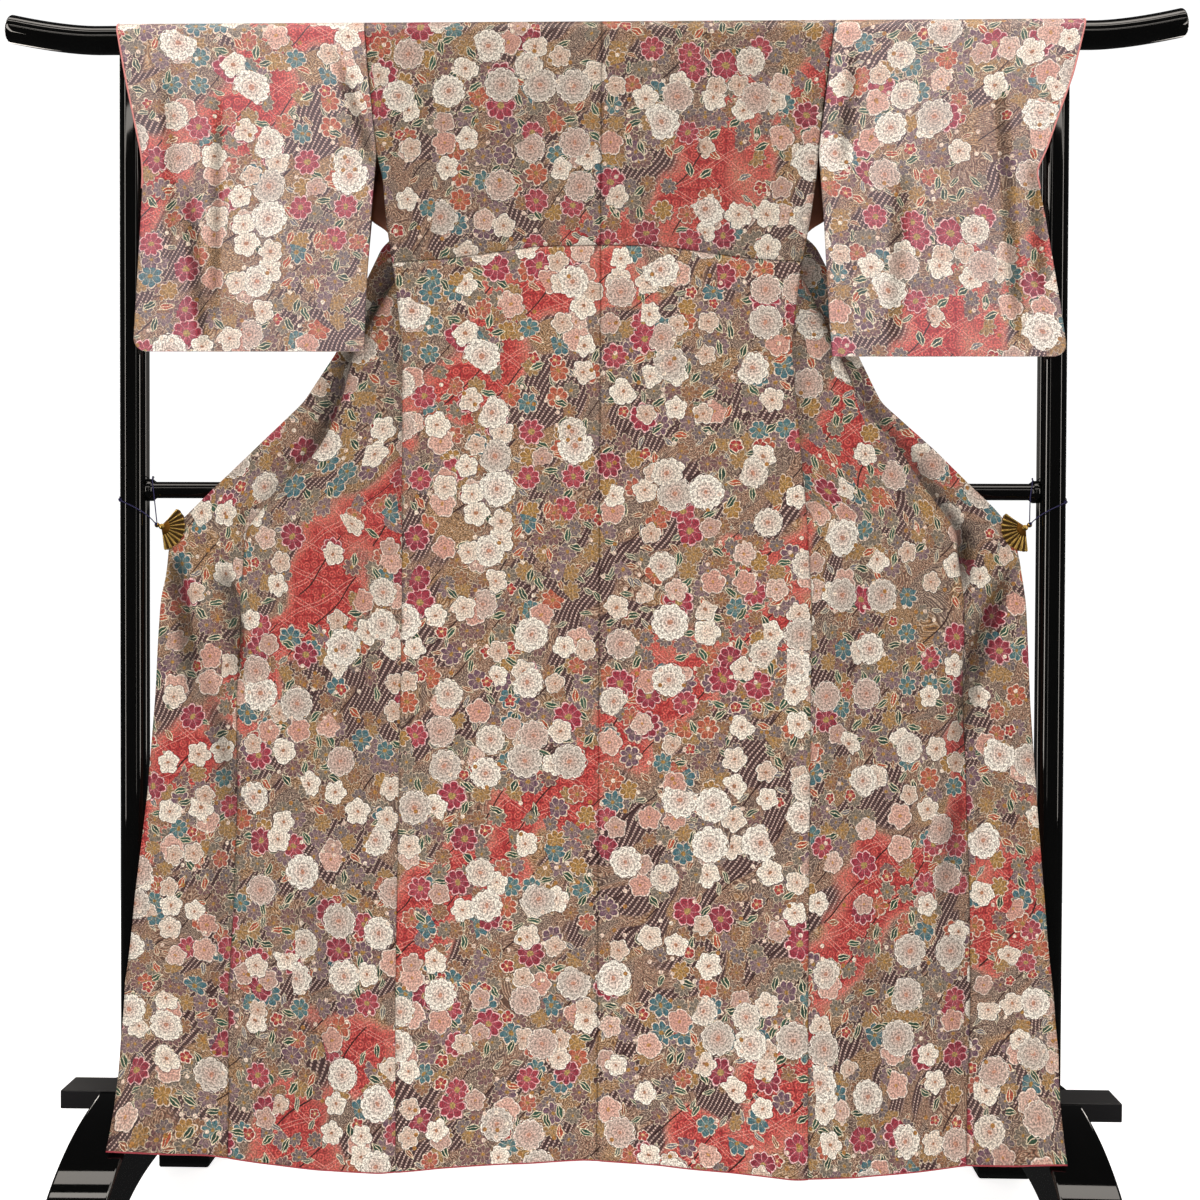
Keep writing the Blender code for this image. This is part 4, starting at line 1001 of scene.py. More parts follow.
def front_section(side, z):
    """Plan of front and strip at a height: distances along the cloth, x and depth there, and the turn."""
    start, edge, strip = front_edges(side, z)
    width = FRONT_WIDTH + strip
    turn_at = (start + width - edge) / 2
    turn_at += FRONT_FOLD_ARC * smooth((z - ROLL_STARTS) / (NECK_CORNER_Z - ROLL_STARTS))
    turn_at += (-FRONT_FOLD_ARC - turn_at) * smooth((ROLL_FADES - z) / (ROLL_FADES - ROLL_GONE))
    if z >= NECK_CORNER_Z:
        edge = start - width
    along = np.linspace(0.0, width, SECTION_POINTS)
    turn = np.clip((along - turn_at) / FRONT_FOLD_ARC + 0.5, 0.0, 1.0)
    angle = math.pi * (1.0 - turn * turn * (3.0 - 2.0 * turn))
    step = along[1] - along[0]
    x = start + np.concatenate(([0.0], np.cumsum(np.cos(angle[1:]) * step)))
    depth = np.concatenate(([0.0], np.cumsum(np.sin(angle[1:]) * step)))
    x += (edge - x[-1]) * along / width
    depth += lookup(DEPTHS, z, 2)
    past = np.clip((along - turn_at) / max(width - turn_at, ROLL_SHORTEST_RUN), 0.0, 1.0)
    if z < NECK_CORNER_Z:
        depth += (lookup(DEPTHS, z, 3) - depth[-1]) * past
    return along, x, depth, turn_at


print("front's turn at the clip", round(float(front_section("left", COLLAR_END)[3]), 3), "m along the cloth")

# %% [markdown]
# Where the front is open it shows its drape, and beside its seam the strip lies in a crease of
# its own. A rail passes behind, and the cloth lies in front of it. Soft light leaves folds to
# be told by tone, so each point also carries painted shade, which darkens its colour in a
# fold's valley and in the crease beside the seam.

# %% Fronts: one point
# The strip beyond the front's seam lies deeper beside it, in a crease: height, left, right.
SEAM_CREASE = [
    (1.39, 0.002, 0.001), (1.34, 0.007, 0.003), (1.25, 0.01, 0.005), (1.12, 0.009, 0.006),
    (1.04, 0.004, 0.008), (0.99, 0.002, 0.009), (0.95, 0.001, 0.009), (0.9, 0.0, 0.004),
    (0.85, 0.0, 0.002), (0.78, 0.0, 0.0)]
SEAM_CREASE_AT, SEAM_CREASE_SWELL = 0.0085, -0.35
SIDE_SEAM_CLOSE, SIDE_SEAM_REACH = 0.0006, 0.006
SIDE_SEAM_FROM, SIDE_SEAM_FADE = 1.40, 0.03
OPEN_FROM, OPEN_FADE = 1.34, 0.14
HIDDEN_DOWN_TO, HIDDEN_FADE = 1.38, 0.06
RAIL_Z, RAIL_CLEAR = 1.046, -0.0133
RAIL_NEAR, RAIL_FLAT, RAIL_SLOPE = 0.05, 0.016, 1.3
# How deeply painted shade darkens the colour in a fold, and in the strip beside the front's seam.
FOLD_SHADE, FOLD_SHADE_DEPTH = 0.54, 0.0100
STRIP_SHADE, STRIP_SHADE_WIDTH, STRIP_SHADE_DEPTH = 0.48, 0.024, 0.010


def front_place(side, distance, z, section, seams):
    """A point of the front or its strip, and the painted shade that darkens its colour in the fold there."""
    along, xs, depths, _ = section
    x = float(np.interp(distance, along, xs))
    depth = float(np.interp(distance, along, depths))
    height = settle(side, x, z)
    depth += crease(side, x, height, FOLDS) - forward_push(side, x, height)
    open_share = smooth((OPEN_FROM - z) / OPEN_FADE)
    fold = open_share * drape(side, x, height)
    hidden = smooth((z - HIDDEN_DOWN_TO) / HIDDEN_FADE) * smooth((NECK_CORNER_Z - z) / HIDDEN_FADE)
    if hidden > 0.0:
        depth += hidden * (crease(side, x, z, HIDDEN_FOLDS) + ripple(SIDES[side] * x, z, SEED["front"]))
    depth += fold + open_share * ripple(SIDES[side] * x, height, SEED["front"])
    closed = SIDE_SEAM_CLOSE * smooth((SIDE_SEAM_FROM - z) / SIDE_SEAM_FADE)
    depth -= closed * math.exp(-(distance / SIDE_SEAM_REACH) ** 2)
    depth += open_share * sum(dip(distance - seam) for seam in seams)
    past_seam = (distance - FRONT_WIDTH) / SEAM_CREASE_AT
    share = abs(past_seam) * math.exp(1.0 - abs(past_seam)) * (1.0 if past_seam > 0.0 else SEAM_CREASE_SWELL)
    beside_seam = lookup(SEAM_CREASE, z, COLUMN[side])
    hollow = share * beside_seam
    depth += hollow
    from_rail = abs(height - RAIL_Z)
    if from_rail < RAIL_NEAR:
        depth = min(depth, RAIL_CLEAR + RAIL_SLOPE * max(0.0, from_rail - RAIL_FLAT))
    # Painted shade: the colour darkens where the drape's valley and the seam's crease go deep.
    light = 1.0 - FOLD_SHADE * smooth((fold + hollow) / FOLD_SHADE_DEPTH)
    # More painted shade over the strip just past the seam's crease.
    if past_seam > 0.0:
        beside = math.exp(-(past_seam * SEAM_CREASE_AT / STRIP_SHADE_WIDTH) ** 2)
        light *= 1.0 - STRIP_SHADE * beside * beside_seam / STRIP_SHADE_DEPTH
    return garment_point(side, x, depth, height), light


print("deepest crease beside a seam", max(max(row[1:]) for row in SEAM_CREASE) * 1000, "mm")

# %% [markdown]
# A row's columns crowd together where the cloth turns, so the turn stays round without more
# columns elsewhere. The print of a front hangs straight where it shows, as it does on the real
# garment, so its place on the bolt is counted from the front edge.

# %% Fronts: rows down the cloth
COLUMN_CROWDING, CROWD_POINTS = 9.0, 200
ROLL_TOP = 1.390


def crowded(first, last, turn_at, count):
    """Places between two ends that lie closer round the turn."""
    places = np.linspace(first, last, CROWD_POINTS)
    density = 1.0 + COLUMN_CROWDING * np.exp(-((places - turn_at) / FRONT_FOLD_ARC) ** 2)
    share = np.concatenate(([0.0], np.cumsum(density[1:] + density[:-1])))
    return [float(np.interp(part, share / share[-1], places)) for part in spaced(0, 1, count)]


def seam_gap(turn_at):
    """Half the gap at the front's seam, which is wider where the cloth turns."""
    return GAP / 2 + ROLLED_SEAM_GAP * math.exp(-((turn_at - FRONT_WIDTH) / FRONT_FOLD_ARC) ** 2)


def front_bolt(side, distance, z, drop, start):
    """Place on the bolt of a point of the front or its strip: the print hangs straight where it shows."""
    _, edge, strip = front_edges(side, min(z, ROLL_TOP))
    return bolt_place(side, distance + edge - FRONT_WIDTH - strip, drop, start)


def hanging_row(side, z, columns, start, strip):
    """One row across the front, or across the strip beyond its seam."""
    section = front_section(side, z)
    gap = seam_gap(section[3])
    if strip:
        first, last, seams = FRONT_WIDTH + gap, section[0][-1], (FRONT_WIDTH,)
    else:
        first, last, seams = 0.0, FRONT_WIDTH - gap, (0.0, FRONT_WIDTH)
    row = []
    for distance in crowded(first, last, section[3], columns):
        point, light = front_place(side, distance, z, section, seams)
        row.append((point, front_bolt(side, distance, z, SHOULDER_ARC + ROD_Z - z, start), light))
    return row


print("columns crowd", 1.0 + COLUMN_CROWDING, "times at the turn")

# %% [markdown]
# The front is the length that comes over the shoulder; the okumi is the narrower one sewn to it
# below the collar's end, and it gives the spread garment its outer edge down to the hem. Both
# end in the red roll.

# %% Fronts and okumi
FRONT_COLUMNS, OKUMI_COLUMNS = 56, 28
NECK_ROWS, COLLAR_ROWS, FRONT_ROWS, OKUMI_ROWS = 5, 120, 130, 146


def front_panel(side):
    """A front from the rod's crest down to its hem."""
    name = "front_" + side
    start = front_edges(side, ROD_Z)[0]
    rows = []
    for distance in spaced(SHOULDER_START, SHOULDER_ARC, SHOULDER_ROWS)[:-1]:
        depth, z = over_rod(distance, True)
        rows.append([
            (garment_point(side, x, depth, z),
             front_bolt(side, start - x, z, distance, PRINT_START[name]), 1.0)
            for x in spaced(start, start - FRONT_WIDTH + GAP / 2, FRONT_COLUMNS)])
    heights = spaced(ROD_Z, NECK_CORNER_Z, NECK_ROWS) + spaced(NECK_CORNER_Z, COLLAR_END, COLLAR_ROWS)[1:]
    heights += spaced(COLLAR_END, HEM_MEAN, FRONT_ROWS)[1:]
    rows += [hanging_row(side, z, FRONT_COLUMNS, PRINT_START[name], False) for z in heights]
    trims = [hem_roll(name, rows[-1])]
    return cloth_panel(name, rows, side == "right", "start end")


def okumi_panel(side):
    """The strip beyond the front's seam, from the collar's end down to the hem."""
    name = "okumi_" + side
    heights = spaced(COLLAR_END, HEM_MEAN, OKUMI_ROWS)
    rows = [hanging_row(side, z, OKUMI_COLUMNS, PRINT_START[name], True) for z in heights]
    trims = [hem_roll(name, rows[-1])]
    return cloth_panel(name, rows, side == "right", "start")


# %% [markdown]
# The collar is one band folded lengthwise. It starts beside the clip, runs up the slanting
# front edge, and turns over the rod round the neck to the centre seam at the back. The first
# stretch is made of rows like the okumi's, and the turn is a fan of rows that get shorter.

# %% Collar
COLLAR_COLUMNS = 24
COLLAR_GAP = 0.004
COLLAR_WIDTH, COLLAR_LENGTH = 0.055, 0.78
NECK_TURN_ROWS = 10
BOLT_PER_ROW, COLLAR_PRINT_FROM = 0.006, 0.05


def neck_turns(side):
    """Rows round the neck: outer x, distance over the rod there, inner x."""
    neck_start, _, strip = front_edges(side, NECK_CORNER_Z)
    low = SHOULDER_ARC + ROD_Z - NECK_CORNER_Z
    turns = [(neck_start - FRONT_WIDTH - GAP / 2, low, neck_start - FRONT_WIDTH - strip)]
    outer_x = front_edges(side, ROD_Z)[0] - FRONT_WIDTH - GAP / 2
    for drop in spaced(SHOULDER_ARC, SHOULDER_START, SHOULDER_ROWS):
        turns.append((outer_x, drop, turns[-1][2] * NECK_TAPER ** 0.5))
    inner_x = turns[-1][2]
    for share in spaced(0.0, 1.0, NECK_TURN_ROWS)[1:]:
        turns.append((outer_x + (GAP / 2 - outer_x) * share, SHOULDER_START,
                      inner_x + (GAP / 2 - inner_x) * share))
    return turns


def collar_panel(side):
    """Half of the collar, up the front edge and round the neck."""
    name = "collar_" + side
    heights = spaced(COLLAR_END, NECK_CORNER_Z - COLLAR_GAP, COLLAR_ROWS)
    rows = [hanging_row(side, z, COLLAR_COLUMNS, PRINT_START[name], True) for z in heights]
    turns = neck_turns(side)
    low = turns[0][1]
    travelled = 0.0
    for outer_x, outer_drop, inner_x in turns:
        row = []
        travelled += BOLT_PER_ROW
        for share in spaced(0.0, 1.0, COLLAR_COLUMNS):
            depth, z = over_rod(outer_drop + (low - outer_drop) * share, True)
            if depth is None:
                depth = lookup(DEPTHS, z, 2)
            point = garment_point(side, outer_x + (inner_x - outer_x) * share, depth, z)
            across = FRONT_WIDTH + COLLAR_WIDTH * share
            place = front_bolt(side, across, ROD_Z, COLLAR_PRINT_FROM - travelled, PRINT_START[name])
            row.append((point, place, 1.0))
        rows.append(row)
    return cloth_panel(name, rows, side == "left", "start")


for side_name in SIDES:
    front_panel(side_name)
    okumi_panel(side_name)
    collar_panel(side_name)
print("panels so far", len(panels))

# %% [markdown]
# A sleeve is one length folded at the top, so it is two walls: the one on the viewer's side
# lies flat over the rod, and the far one swings forward to meet it at the wrist. A few sharp
# creases catch the light, and they show as much by painted shade, which darkens their colour,
# as by form.

# %% Sleeves: creases and edges
# Creases of a sleeve: x and z of one end, x and z of the other, width, depth.
SLEEVE_FOLDS = {
    "left": [
        (0.374, 1.668, 0.324, 1.52, 0.008, 0.004), (0.528, 1.545, 0.532, 1.32, 0.009, 0.0034),
        (0.51, 1.54, 0.515, 1.34, 0.011, -0.0022), (0.568, 1.43, 0.55, 1.265, 0.009, 0.0036),
        (0.6, 1.6, 0.592, 1.4, 0.012, 0.0018), (0.44, 1.56, 0.45, 1.33, 0.02, -0.002)],
    "right": [
        (0.346, 1.66, 0.332, 1.51, 0.009, 0.0032), (0.47, 1.6, 0.48, 1.3, 0.018, -0.0024),
        (0.545, 1.56, 0.566, 1.3, 0.0095, 0.0036), (0.41, 1.45, 0.4, 1.27, 0.014, 0.0022),
        (0.588, 1.48, 0.598, 1.34, 0.01, 0.0028)]}
SLEEVE_COLUMNS = 92
HANGING_ROWS, CORNER_ROWS = 70, 9
# How deeply painted shade darkens the colour in a sleeve's crease.
SLEEVE_SHADE, SLEEVE_SHADE_DEPTH = 0.50, 0.0036
SLEEVE_FOLD_GAIN, SLEEVE_FORWARD = 1.25, 0.0012
TAUT_TOP, TAUT_BOTTOM = 0.08, 0.01


def sleeve_edges(side, z):
    """Inner and outer edge of a sleeve at a height, with its rounded lower corner."""
    outer = lookup(SLEEVE_EDGES, z, COLUMN[side])
    inner = lookup(SLEEVE_EDGES, z, COLUMN[side] + 2) + GAP / 2
    low = SLEEVE_CORNER - (z - SLEEVE_BOTTOM[side])
    if low > 0.0:
        outer -= SLEEVE_CORNER - math.sqrt(max(0.0, SLEEVE_CORNER ** 2 - low ** 2))
    return inner, outer


def sleeve_heights(side):
    """Heights of the hanging rows, closer round the lower corner."""
    bottom = SLEEVE_BOTTOM[side]
    turns = spaced(0.0, math.pi / 2, CORNER_ROWS)[1:]
    corner = [bottom + SLEEVE_CORNER * (1.0 - math.sin(turn)) for turn in turns]
    return spaced(ROD_Z, bottom + SLEEVE_CORNER, HANGING_ROWS) + corner


def sleeve_calm(side, z):
    """No folds at the rod and at the sewn bottom."""
    return smooth((ROD_Z - z) / TAUT_TOP) * smooth((z - SLEEVE_BOTTOM[side]) / TAUT_BOTTOM)


def near_sleeve(side):
    """Rows of the wall on the viewer's side."""
    rows, start = [], PRINT_START["sleeve_" + side]
    for distance in spaced(SHOULDER_START, SHOULDER_ARC, SHOULDER_ROWS)[:-1]:
        depth, z = over_rod(distance, False)
        inner, outer = sleeve_edges(side, z)
        rows.append([(garment_point(side, x, depth, z), bolt_place(side, x - inner, distance, start), 1.0)
                     for x in spaced(inner, outer, SLEEVE_COLUMNS)])
    for z in sleeve_heights(side):
        inner, outer = sleeve_edges(side, z)
        calm = sleeve_calm(side, z)
        row = []
        for x in spaced(inner, outer, SLEEVE_COLUMNS):
            fold = calm * crease(side, x, z, SLEEVE_FOLDS)
            depth = lookup(DEPTHS, z, 1)
            uneven = ripple(SIDES[side] * x, z, SEED["sleeve"]) - SLEEVE_FORWARD
            depth += SLEEVE_FOLD_GAIN * fold + calm * uneven
            depth += calm * dip(x - inner)
            # Painted shade: the colour darkens where the crease goes deep.
            light = 1.0 - SLEEVE_SHADE * smooth(fold / SLEEVE_SHADE_DEPTH)
            place = bolt_place(side, x - inner, SHOULDER_ARC + ROD_Z - z, start)
            row.append((garment_point(side, x, depth, z), place, light))
        rows.append(row)
    return rows


print("sleeve", round(sleeve_edges("left", 1.5)[1] - sleeve_edges("left", 1.5)[0], 3), "m wide")

# %% [markdown]
# The far wall is narrower at the wrist, where it has to pass inside the post, and at the
# armhole it laps a little behind the front. Piping in pink silk runs down the open wrist edge of
# the near wall and ends where the sleeve is sewn shut.

# %% Sleeves: far wall, piping and panels
FAR_FOLD_SHARE, FAR_CLEAR = 0.7, 0.0010
ARMHOLE_OVERLAP, ARMHOLE_CLEAR, ARMHOLE_BACK = 0.0040, 0.0065, 0.0014
LAP_TOP, LAP_TOP_FADE, LAP_BOTTOM, LAP_BOTTOM_FADE = 1.506, 0.020, 1.436, 0.024
CLEAR_FROM, CLEAR_FADE = 1.446, 0.020
CUFF_OPENS_TO = 1.455
CUFF_PIPING, CUFF_OUT = 0.0013, 0.0006


def wrist_limit(side, reach):
    """How far out a wrist may go: measured from the stand's middle, given from the garment's."""
    return SIDES[side] * (SIDES[side] * reach - CENTRE_X)


def far_sleeve(side):
    """Rows of the wall behind the rod."""
    rows, start = [], PRINT_START["sleeve_" + side]
    for distance in spaced(SHOULDER_START, SHOULDER_ARC, SHOULDER_ROWS)[:-1]:
        depth, z = over_rod(distance, True)
        inner, outer = sleeve_edges(side, z)
        limit = wrist_limit(side, WRIST_LIMIT[0][1])
        outer += (min(outer, limit) - outer) * distance / SHOULDER_ARC
        rows.append([(garment_point(side, x, depth, z), bolt_place(side, x - inner, -distance, start), 1.0)
                     for x in spaced(inner, outer, SLEEVE_COLUMNS)])
    for z in sleeve_heights(side):
        inner, outer = sleeve_edges(side, z)
        calm = sleeve_calm(side, z)
        outer = min(outer, wrist_limit(side, lookup(WRIST_LIMIT, z, 1)))
        overlap = smooth((z - LAP_BOTTOM) / LAP_BOTTOM_FADE) * smooth((LAP_TOP - z) / LAP_TOP_FADE)
        inner += ARMHOLE_CLEAR * smooth((CLEAR_FROM - z) / CLEAR_FADE) - ARMHOLE_OVERLAP * overlap
        inner_depth = lookup(FAR_SLEEVE_DEPTHS, z, 1) + ARMHOLE_BACK * overlap
        outer_depth = lookup(FAR_SLEEVE_DEPTHS, z, 2)
        row = []
        for share in spaced(0.0, 1.0, SLEEVE_COLUMNS):
            x = inner + (outer - inner) * share
            depth = inner_depth + (outer_depth - inner_depth) * share ** WRIST_SWING_POWER
            folds = FAR_FOLD_SHARE * abs(crease(side, x, z, SLEEVE_FOLDS)) + FAR_CLEAR
            depth += calm * (folds + FAR_FOLD_SHARE * ripple(SIDES[side] * x, z, SEED["far sleeve"]))
            place = bolt_place(side, (outer - inner) * share, -(SHOULDER_ARC + ROD_Z - z), start)
            row.append((garment_point(side, x, depth, z), place, 1.0))
        rows.append(row)
    return rows


def sleeve(side):
    """Both walls of a sleeve and the piping at its wrist."""
    near, far = near_sleeve(side), far_sleeve(side)
    wrist = [row[-1][0] for row in near if row[-1][0].z > CUFF_OPENS_TO]
    outwards = Vector((SIDES[side] * CUFF_OUT, 0.0, 0.0))
    bm = bmesh.new()
    sweep(bm, [point + outwards for point in wrist], CUFF_PIPING, TRIM_SIDES)
    trims = [finished(bm, "cuff_piping_" + side, (), [cuff_silk])]
    name = "sleeve_" + side
    cloth_panel(name + "_back", near, side == "right", "start")
    cloth_panel(name + "_front", far, side == "left", "start")


for side_name in SIDES:
    sleeve(side_name)
print("cloth pieces", len(panels))

# %% [markdown]
# The stand is turned and planed wood under many coats of black lacquer. A long rod with
# turned-up ends lies in saddles on two rounded posts. A cylinder bent by a modifier would do
# for it too; a sweep puts the bend and the rounded tips where they were measured. Lacquer shows
# its shape only by thin bright lines, so the roundings are smooth and even.

# %% Rod
ROD_HALF, ROD_TURNS_FROM = 0.8125, 0.69
ROD_TURN, ROD_TURN_POWER = 0.017, 1.6
ROD_EDGE, ROD_EDGE_STEPS = 0.003, 5
ROD_TURN_STEPS, ROD_SIDES = 12, 48


def rod_point(x):
    """A point of the rod's middle line, which turns up towards both ends."""
    turn = max(0.0, (abs(x) - ROD_TURNS_FROM) / (ROD_HALF - ROD_TURNS_FROM))
    return Vector((x, 0.0, ROD_Z + ROD_TURN * turn ** ROD_TURN_POWER))


def tube(name, node, line, sides):
    """A lacquered round bar through places, each with its radius."""
    bm = bmesh.new()
    sweep(bm, [place for place, radius in line], [radius for place, radius in line], sides)
    return finished(bm, name, [node], [lacquer])


tip = [(ROD_EDGE * (1.0 - math.sin(a)), ROD_EDGE * (1.0 - math.cos(a)))
       for a in spaced(math.pi / 2, 0.0, ROD_EDGE_STEPS)]
end = [(-ROD_HALF + inset, ROD_RADIUS - less) for inset, less in tip]
end += [(x, ROD_RADIUS) for x in spaced(-ROD_HALF + 0.012, -ROD_TURNS_FROM, ROD_TURN_STEPS)]
stations = end + [(x, ROD_RADIUS) for x in spaced(-0.6, 0.6, 7)]
stations += [(-x, radius) for x, radius in reversed(end)]
tube("lacquered_rod", "top_rod", [(rod_point(x), radius) for x, radius in stations], ROD_SIDES)
print("rod", 2 * ROD_HALF, "m")

# %% [markdown]
# A rail ties the posts a little above the clips, and each of its ends swells into a small
# collar where it meets the post. The collar could be a separate ring, but a turner cuts both
# from one piece, so here too it is only a change of radius along the sweep.

# %% Rail
POST_X, POST_WIDTH = 0.638, 0.037
RAIL_RADIUS, RAIL_COLLAR, RAIL_SIDES = 0.0115, 0.0155, 40
rail_half = POST_X - POST_WIDTH / 2 - GAP
# Distance in from the rail's end, radius.
collar_steps = [
    (0.0, 0.015), (0.0008, RAIL_COLLAR), (0.007, RAIL_COLLAR), (0.0085, 0.014), (0.012, RAIL_RADIUS)]
stations = [(-rail_half + step, radius) for step, radius in collar_steps]
stations += [(-0.3, RAIL_RADIUS), (0.3, RAIL_RADIUS)]
stations += [(rail_half - step, radius) for step, radius in reversed(collar_steps)]
tube("lacquered_rail", "mid_rail", [((x, 0.0, RAIL_Z), radius) for x, radius in stations], RAIL_SIDES)
print("rail", round(2 * rail_half, 3), "m")

# %% [markdown]
# Each post is a square length with well-rounded corners, hollowed at the top so that the rod
# can lie in it. A boolean with a cylinder would cut the saddle; cutting the top into strips and
# lowering their edges onto the rod's circle gives the same hollow with an even mesh.

# %% Posts
POST_ROUNDING, POST_BELOW_ROD = 0.014, 0.008
SADDLE_HALF, SADDLE_CUTS = 0.017, 11
BAR_HALF, BAR_DEPTH, BAR_TOP, BAR_HEIGHT, BAR_EDGE = 0.735, 0.052, 0.207, 0.026, 0.0015


def block(bm, low, high):
    """A box between two corners."""
    verts = bmesh.ops.create_cube(bm, size=1.0)["verts"]
    low, high = Vector(low), Vector(high)
    bmesh.ops.scale(bm, vec=high - low, verts=verts)
    bmesh.ops.translate(bm, vec=(low + high) / 2, verts=verts)


def rounded(bm, edges, offset, segments):
    """Rounds edges with even steps."""
    bmesh.ops.bevel(
        bm, geom=edges, offset=offset, segments=segments, profile=0.5, affect="EDGES", material=-1)


for side_name, sign in SIDES.items():
    bm = bmesh.new()
    top, half = ROD_Z - POST_BELOW_ROD, POST_WIDTH / 2
    block(bm, (sign * POST_X - half, -half, BAR_TOP + GAP), (sign * POST_X + half, half, top))
    upright = [e for e in bm.edges if abs(e.verts[0].co.z - e.verts[1].co.z) > 0.1]
    rounded(bm, upright, POST_ROUNDING, 10)
    for y in spaced(-SADDLE_HALF, SADDLE_HALF, SADDLE_CUTS):
        everything = bm.verts[:] + bm.edges[:] + bm.faces[:]
        bmesh.ops.bisect_plane(bm, geom=everything, plane_co=(0, y, 0), plane_no=(0, 1, 0))
    for vert in bm.verts:
        if vert.co.z > top - 0.001:
            reach = (ROD_RADIUS + GAP) ** 2 - vert.co.y ** 2
            vert.co.z = min(top, ROD_Z - math.sqrt(max(reach, 0.0)))
    finished(bm, "lacquered_post_" + side_name, ["post_" + side_name], [lacquer], True)
print("posts stand", 2 * POST_X, "m apart")

# %% [markdown]
# A flat bar is let into two arched feet, and the posts stand on it. The foot is sawn from a
# board along two curves, so its side view is drawn once as an outline, extruded to the board's
# thickness and bevelled, except at the notch, whose edges stay sharp round the bar.

# %% Bar and feet
FOOT_WIDTH, FOOT_HALF, FOOT_EDGE, FOOT_STEPS = 0.080, 0.275, 0.004, 81
ARCH_HALF, ARCH_HEIGHT, ARCH_POWER = 0.205, 0.116, 2.6
EDGE_SEGMENTS = 3
bm = bmesh.new()
block(bm, (-BAR_HALF, -BAR_DEPTH / 2, BAR_TOP - BAR_HEIGHT), (BAR_HALF, BAR_DEPTH / 2, BAR_TOP))
rounded(bm, bm.edges[:], BAR_EDGE, EDGE_SEGMENTS)
finished(bm, "foot_bar", ["cross_bar"], [satin], True)


def foot_side():
    """Side view of a foot as y and z: the outer curve with the bar's notch, then the arch under it."""
    notch_y, notch_z = BAR_DEPTH / 2 + GAP, BAR_TOP - BAR_HEIGHT - GAP
    outer = [(FOOT_HALF * math.cos(a), BAR_TOP * math.sin(a)) for a in spaced(0.0, math.pi, FOOT_STEPS)]
    rim_z = BAR_TOP * math.sqrt(1.0 - (notch_y / FOOT_HALF) ** 2)
    notch = [(notch_y, rim_z), (notch_y, notch_z), (-notch_y, notch_z), (-notch_y, rim_z)]
    clear = notch_y + FOOT_EDGE
    outline = [p for p in outer if p[0] > clear] + notch + [p for p in outer if p[0] < -clear]
    for a in spaced(math.pi, 0.0, FOOT_STEPS):
        power = 2.0 / ARCH_POWER
        along = math.copysign(abs(math.cos(a)) ** power, math.cos(a)) * ARCH_HALF
        outline.append((along, max(0.0, math.sin(a)) ** power * ARCH_HEIGHT))
    return outline, {(round(y, 5), round(z, 5)) for y, z in notch}


outline, notch_corners = foot_side()
for side_name, sign in SIDES.items():
    bm = bmesh.new()
    inner_x = sign * POST_X - FOOT_WIDTH / 2
    side_face = bm.faces.new([bm.verts.new((inner_x, y, z)) for y, z in outline])
    made = bmesh.ops.extrude_face_region(bm, geom=[side_face], use_keep_orig=True)["geom"]
    far_side = [part for part in made if isinstance(part, bmesh.types.BMVert)]
    bmesh.ops.translate(bm, vec=(FOOT_WIDTH, 0, 0), verts=far_side)
    rim = [e for e in bm.edges if abs(e.verts[0].co.x - e.verts[1].co.x) < 1e-6
           and all((round(v.co.y, 5), round(v.co.z, 5)) not in notch_corners for v in e.verts)]
    rounded(bm, rim, FOOT_EDGE, EDGE_SEGMENTS)
    finished(bm, "lacquered_foot_" + side_name, ["foot_" + side_name], [lacquer], True)
print("foot outline", len(outline), "points")

# %% [markdown]
# Each front edge is held by a small pressed brass clip in the form of a folding fan. The leaf
# is one radial section spun round the pivot. Every other field is raised as a rib with its tip
# drawn out, and the hollows between keep the dark of old brass. Modelling the ribs costs little
# and catches the light as a bump map couldn't at the rim.

# %% Fan clips: the leaf
# Place of the pivot, x and z, and the direction of the fan's middle in degrees.
CLIPS = {"left": (-0.593, 0.994, -17.0), "right": (0.597, 0.996, 210.0)}
FAN_RADIUS, FAN_TIP, FAN_HEART, FAN_HEEL, FAN_PLATE = 0.0318, 0.0330, 0.0118, 0.0040, 0.0014
FAN_OPENING = math.radians(134.0)
FAN_RIBS = 10
FAN_FIELDS = 2 * FAN_RIBS - 1
HEART_GAP, HEART_STEPS = 0.0002, 24
RIB_INSET, RIB_RISE = 0.0003, 0.0008
RIVET_RADIUS, RIVET_RISE, RIVET_FLATNESS = 0.0022, 0.0008, 0.32
CLOTH_FRONT = -0.0202


def fan_leaf(bm, pivot, start, first, last, front, back, steps):
    """Spins a radial section round the pivot and closes its two ends."""
    ray = Vector((math.cos(start), 0.0, math.sin(start)))
    places = [ray * reach + Vector((pivot[0], depth, pivot[1]))
              for reach, depth in ((first, front), (last, front), (last, back), (first, back))]
    section = bm.faces.new([bm.verts.new(place) for place in places])
    bmesh.ops.spin(bm, geom=[section] + section.edges[:] + section.verts[:], cent=(pivot[0], 0.0, pivot[1]),
                   axis=(0.0, -1.0, 0.0), angle=FAN_OPENING, steps=steps, use_duplicate=False)
    bmesh.ops.remove_doubles(bm, verts=bm.verts, dist=1e-6)


def fan_share(place, pivot, start):
    """How far round the fan a place lies, as a share of its opening."""
    return (math.atan2(place.z - pivot[1], place.x - pivot[0]) - start) % math.tau / FAN_OPENING


